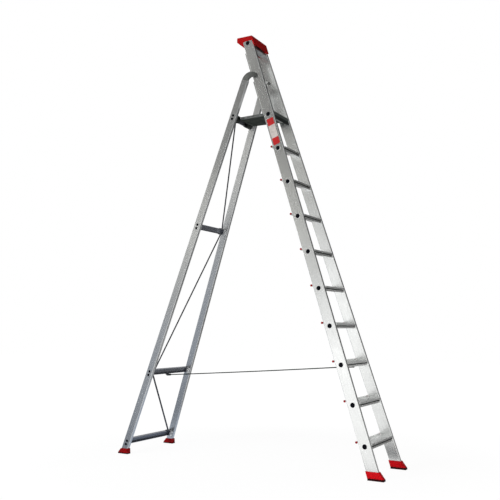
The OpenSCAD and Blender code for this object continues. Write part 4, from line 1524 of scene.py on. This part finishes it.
        # The treads' aluminium is paler than the stiles': partly painted light on their tops.
        shop.coat_nodes([f"tread_{k + 1}" for k in range(TREADS)], TREAD_METAL_PAINTED_LIGHT)
        # The top rail's dark aluminium is painted shade under the cap.
        shop.coat_nodes(["top_rail", "platform_axle"], RAIL_METAL_AND_SHADE)
        shop.coat_nodes(["cord_clamp_front"], FASTENER_METAL)


@dataclass
class RearFrame:
    """Legs, crossbars, braces, brackets, saddles and rear feet; lengths that end in mm are in millimetres."""

    foot_round_mm: float = 2.5
    saddle_round_mm: float = 1.5
    crossbar_z: Point = (0.079, 0.570, 1.606)
    bar_half: float = 0.020
    rivet_pitch: float = 0.025
    rivet_sides: int = 18
    stub_l: float = 0.062
    saddle_r: float = 0.025
    flange_mid: float = -0.0165
    brace_inset: float = 0.036
    brace_t: float = 0.003
    tab_plate_w_mm: float = 27.0
    tab_plate_h_mm: float = 42.0
    tab_plate_round_mm: float = 5.0
    tab_plate_half_mm: float = 0.3
    tab_plate_gap: float = 0.0004
    tab_plate_x: float = 0.0068

    def bars(self) -> list[float]:
        """Gives the crossbars' distances up the rear frame."""
        return [z / math.cos(REAR_LEAN) for z in self.crossbar_z] + [PLATFORM_BAR_W]

    def build(self, works: Workshop) -> None:
        """Makes the rear frame's own pieces.

        Args:
            works: Where the pieces are made.
        """
        for side in Side:
            node = side.of("rear_foot")
            # The rear feet's darker red is painted shade.
            foot = works.soften(node, REAR_FOOT_PLASTIC_PAINTED_SHADE, self.foot_round_mm)
            works.hand_over(foot, Body.REAR, "red_plastic", node)
            node = side.of("bar_saddle")
            saddle = works.soften(node, BLACK_PLASTIC, self.saddle_round_mm)
            works.hand_over(saddle, Body.REAR, "black_plastic", node)
        self.rivets(works)
        self.tabs(works)

    def ear_rivets(self) -> list[Matrix]:
        """Gives the places of the rivet heads on the braces' ears.

        Returns:
            Places that turn +Z away from the bar that an ear is riveted to.
        """
        bottom, middle, upper, top = self.bars()
        flange = self.bar_half + SEAT
        ears = [(-1, top, -self.saddle_r - SEAT), (1, upper, flange), (1, upper, -flange)]
        ears += [(-1, middle, flange), (-1, middle, -flange), (1, bottom, flange)]
        places = []
        for sign, w, reach in ears:
            across = rear_half(w) - LEG_T * LEG_UP - self.brace_inset
            up = math.copysign(1.0, reach)
            spot = (self.flange_mid, sign * across, w + reach + up * (self.brace_t + SEAT))
            turn = Matrix.Rotation(0.0 if up > 0 else math.pi, 4, "X")
            places.append(rear_place() @ Matrix.Translation(spot) @ turn)
        return places

    def rivets(self, works: Workshop) -> None:
        """Sets hollow rivet heads on legs, tabs and braces, and black caps over the tabs' outer heads.

        Args:
            works: Where the rivets are made.
        """
        heads, caps = [], []
        tabs = [w * LEG_UP + s * self.rivet_pitch / 2 for w in self.bars() for s in (-1, 1)]
        stubs = [LEG_TOP_W * LEG_UP - s * self.stub_l / 3 for s in (1, 2)]
        for side in Side:
            for heights, depth in ((tabs, LEG_T + TAB_T + SEAT), (stubs, LEG_T)):
                for w in heights:
                    outer = Matrix.Translation((0.0, side.value * SEAT, w)) @ side.outwards()
                    inner = Matrix.Translation((0.0, -side.value * (depth + SEAT), w)) @ side.inwards()
                    (caps if heights is tabs else heads).append(side.leg() @ outer)
                    heads.append(side.leg() @ inner)
        heads += self.ear_rivets()
        piece = works.scatter("rivet_heads", works.lathe(HOLLOW_RIVET, self.rivet_sides), heads, RIVET_METAL)
        works.hand_over(piece, Body.REAR, "fastener_steel", "bar_rivets", "brace_rivets", "bracket_rivets")
        piece = works.scatter("rivet_caps", works.lathe(RIVET_CAP), caps, CAP_PLASTIC)
        works.hand_over(piece, Body.REAR, "black_plastic")

    def tabs(self, works: Workshop) -> None:
        """Lays a bright plate on every crossbar tab's inner face.

        Args:
            works: Where the plates are made.
        """
        shape = bmesh.new()
        outline = works.rounded(self.tab_plate_w_mm, self.tab_plate_h_mm, self.tab_plate_round_mm)
        works.prism(shape, outline, -self.tab_plate_half_mm, self.tab_plate_half_mm)
        depth = LEG_T + TAB_T + SEAT + self.tab_plate_gap
        places = []
        for side in Side:
            for w in self.bars():
                spot = Matrix.Translation((self.tab_plate_x, -side.value * depth, w * LEG_UP))
                places.append(side.leg() @ spot)
        piece = works.scatter("bar_tab_plates", shape, places, TAB_METAL)
        works.hand_over(piece, Body.REAR, "leg_aluminium")

    def dress(self, shop: PaintShop) -> None:
        """Puts the finishes on the rear frame's CAD pieces.

        Args:
            shop: Where the pieces get their finishes.
        """
        shop.coat_pair("rear_leg", LEG_METAL)
        # The crossbars' dark aluminium is painted shade.
        shop.coat_nodes(["bottom_crossbar", "middle_crossbar", "upper_crossbar", "platform_bar"], BAR_METAL_PAINTED_SHADE)
        shop.coat_nodes(["upper_brace", "middle_brace", "lower_brace"], BRACE_METAL)
        shop.coat_pair("leg_bracket", BRACKET_METAL)
        shop.coat_nodes(["cord_clamp_rear"], FASTENER_METAL)


@dataclass
class Platform:
    """Deck, nosing, side rails, hooks and bushes; lengths that end in mm are in millimetres."""

    rise: float = 0.021
    back: float = 0.242367
    front: float = 0.036
    deck_half: float = 0.091
    strips: int = 11
    stud_step: float = 0.013
    stud_margin: float = 0.012
    stud_sides: int = 12
    nosing_drop: float = 0.01305
    nosing_half_mm: float = 101.4

    def build(self, works: Workshop) -> None:
        """Makes the platform's own pieces."""
        self.studs(works)
        self.nosing_strip(works)

    def studs(self, works: Workshop) -> None:
        """Sets rows of grip studs between the deck's strips.

        Args:
            works: Where the studs are made.
        """
        row_step = 2 * self.deck_half / self.strips
        count = int((self.back + self.front - 2 * self.stud_margin) / self.stud_step)
        first_x = front_x(AXLE_Z) - self.back + self.stud_margin
        places = []
        for row in range(1, self.strips):
            for i in range(count):
                x = first_x + (i + 0.5) * self.stud_step
                spot = (x, row * row_step - self.deck_half, AXLE_Z + self.rise)
                places.append(Matrix.Translation(spot))
        piece = works.scatter("deck_studs", works.lathe(DECK_STUD, self.stud_sides), places, DECK_PLASTIC)
        works.hand_over(piece, Body.PLATFORM, "black_plastic")

    def nosing_strip(self, works: Workshop) -> None:
        """Lays a ridged rubber strip in the nosing's groove.

        Args:
            works: Where the strip is made.
        """
        bm = bmesh.new()
        place = Matrix.Translation((front_x(AXLE_Z), 0.0, AXLE_Z - self.nosing_drop))
        works.prism(bm, ridged_strip(self.front / MM), -self.nosing_half_mm, self.nosing_half_mm, place)
        works.hand_over(works.piece("nosing_strip", bm, RUBBER), Body.PLATFORM, "black_plastic")

    def dress(self, shop: PaintShop) -> None:
        """Puts the finishes on the platform's CAD pieces.

        Args:
            shop: Where the pieces get their finishes.
        """
        shop.coat_nodes(["platform_deck"], DECK_PLASTIC)
        shop.coat_nodes(["platform_nosing"], BLACK_PLASTIC)
        shop.coat_pair("platform_hook", BLACK_PLASTIC)
        shop.coat_pair("platform_rail", RAIL_METAL_AND_SHADE)
        shop.coat_nodes(["hinge_bushes"], BUSH_PLASTIC)


def main() -> None:
    """Builds the scene's classes in order."""
    logging.basicConfig(level=logging.INFO, format="%(message)s")
    shop = PaintShop()
    works = Workshop(shop)
    PhotoCamera().build()
    SpreaderCord().build(shop)
    for assembly in (ClimbingFrame(), RearFrame(), Platform()):
        assembly.build(works)
        assembly.dress(shop)
    Studio().build()


if __name__ == "__main__":
    main()
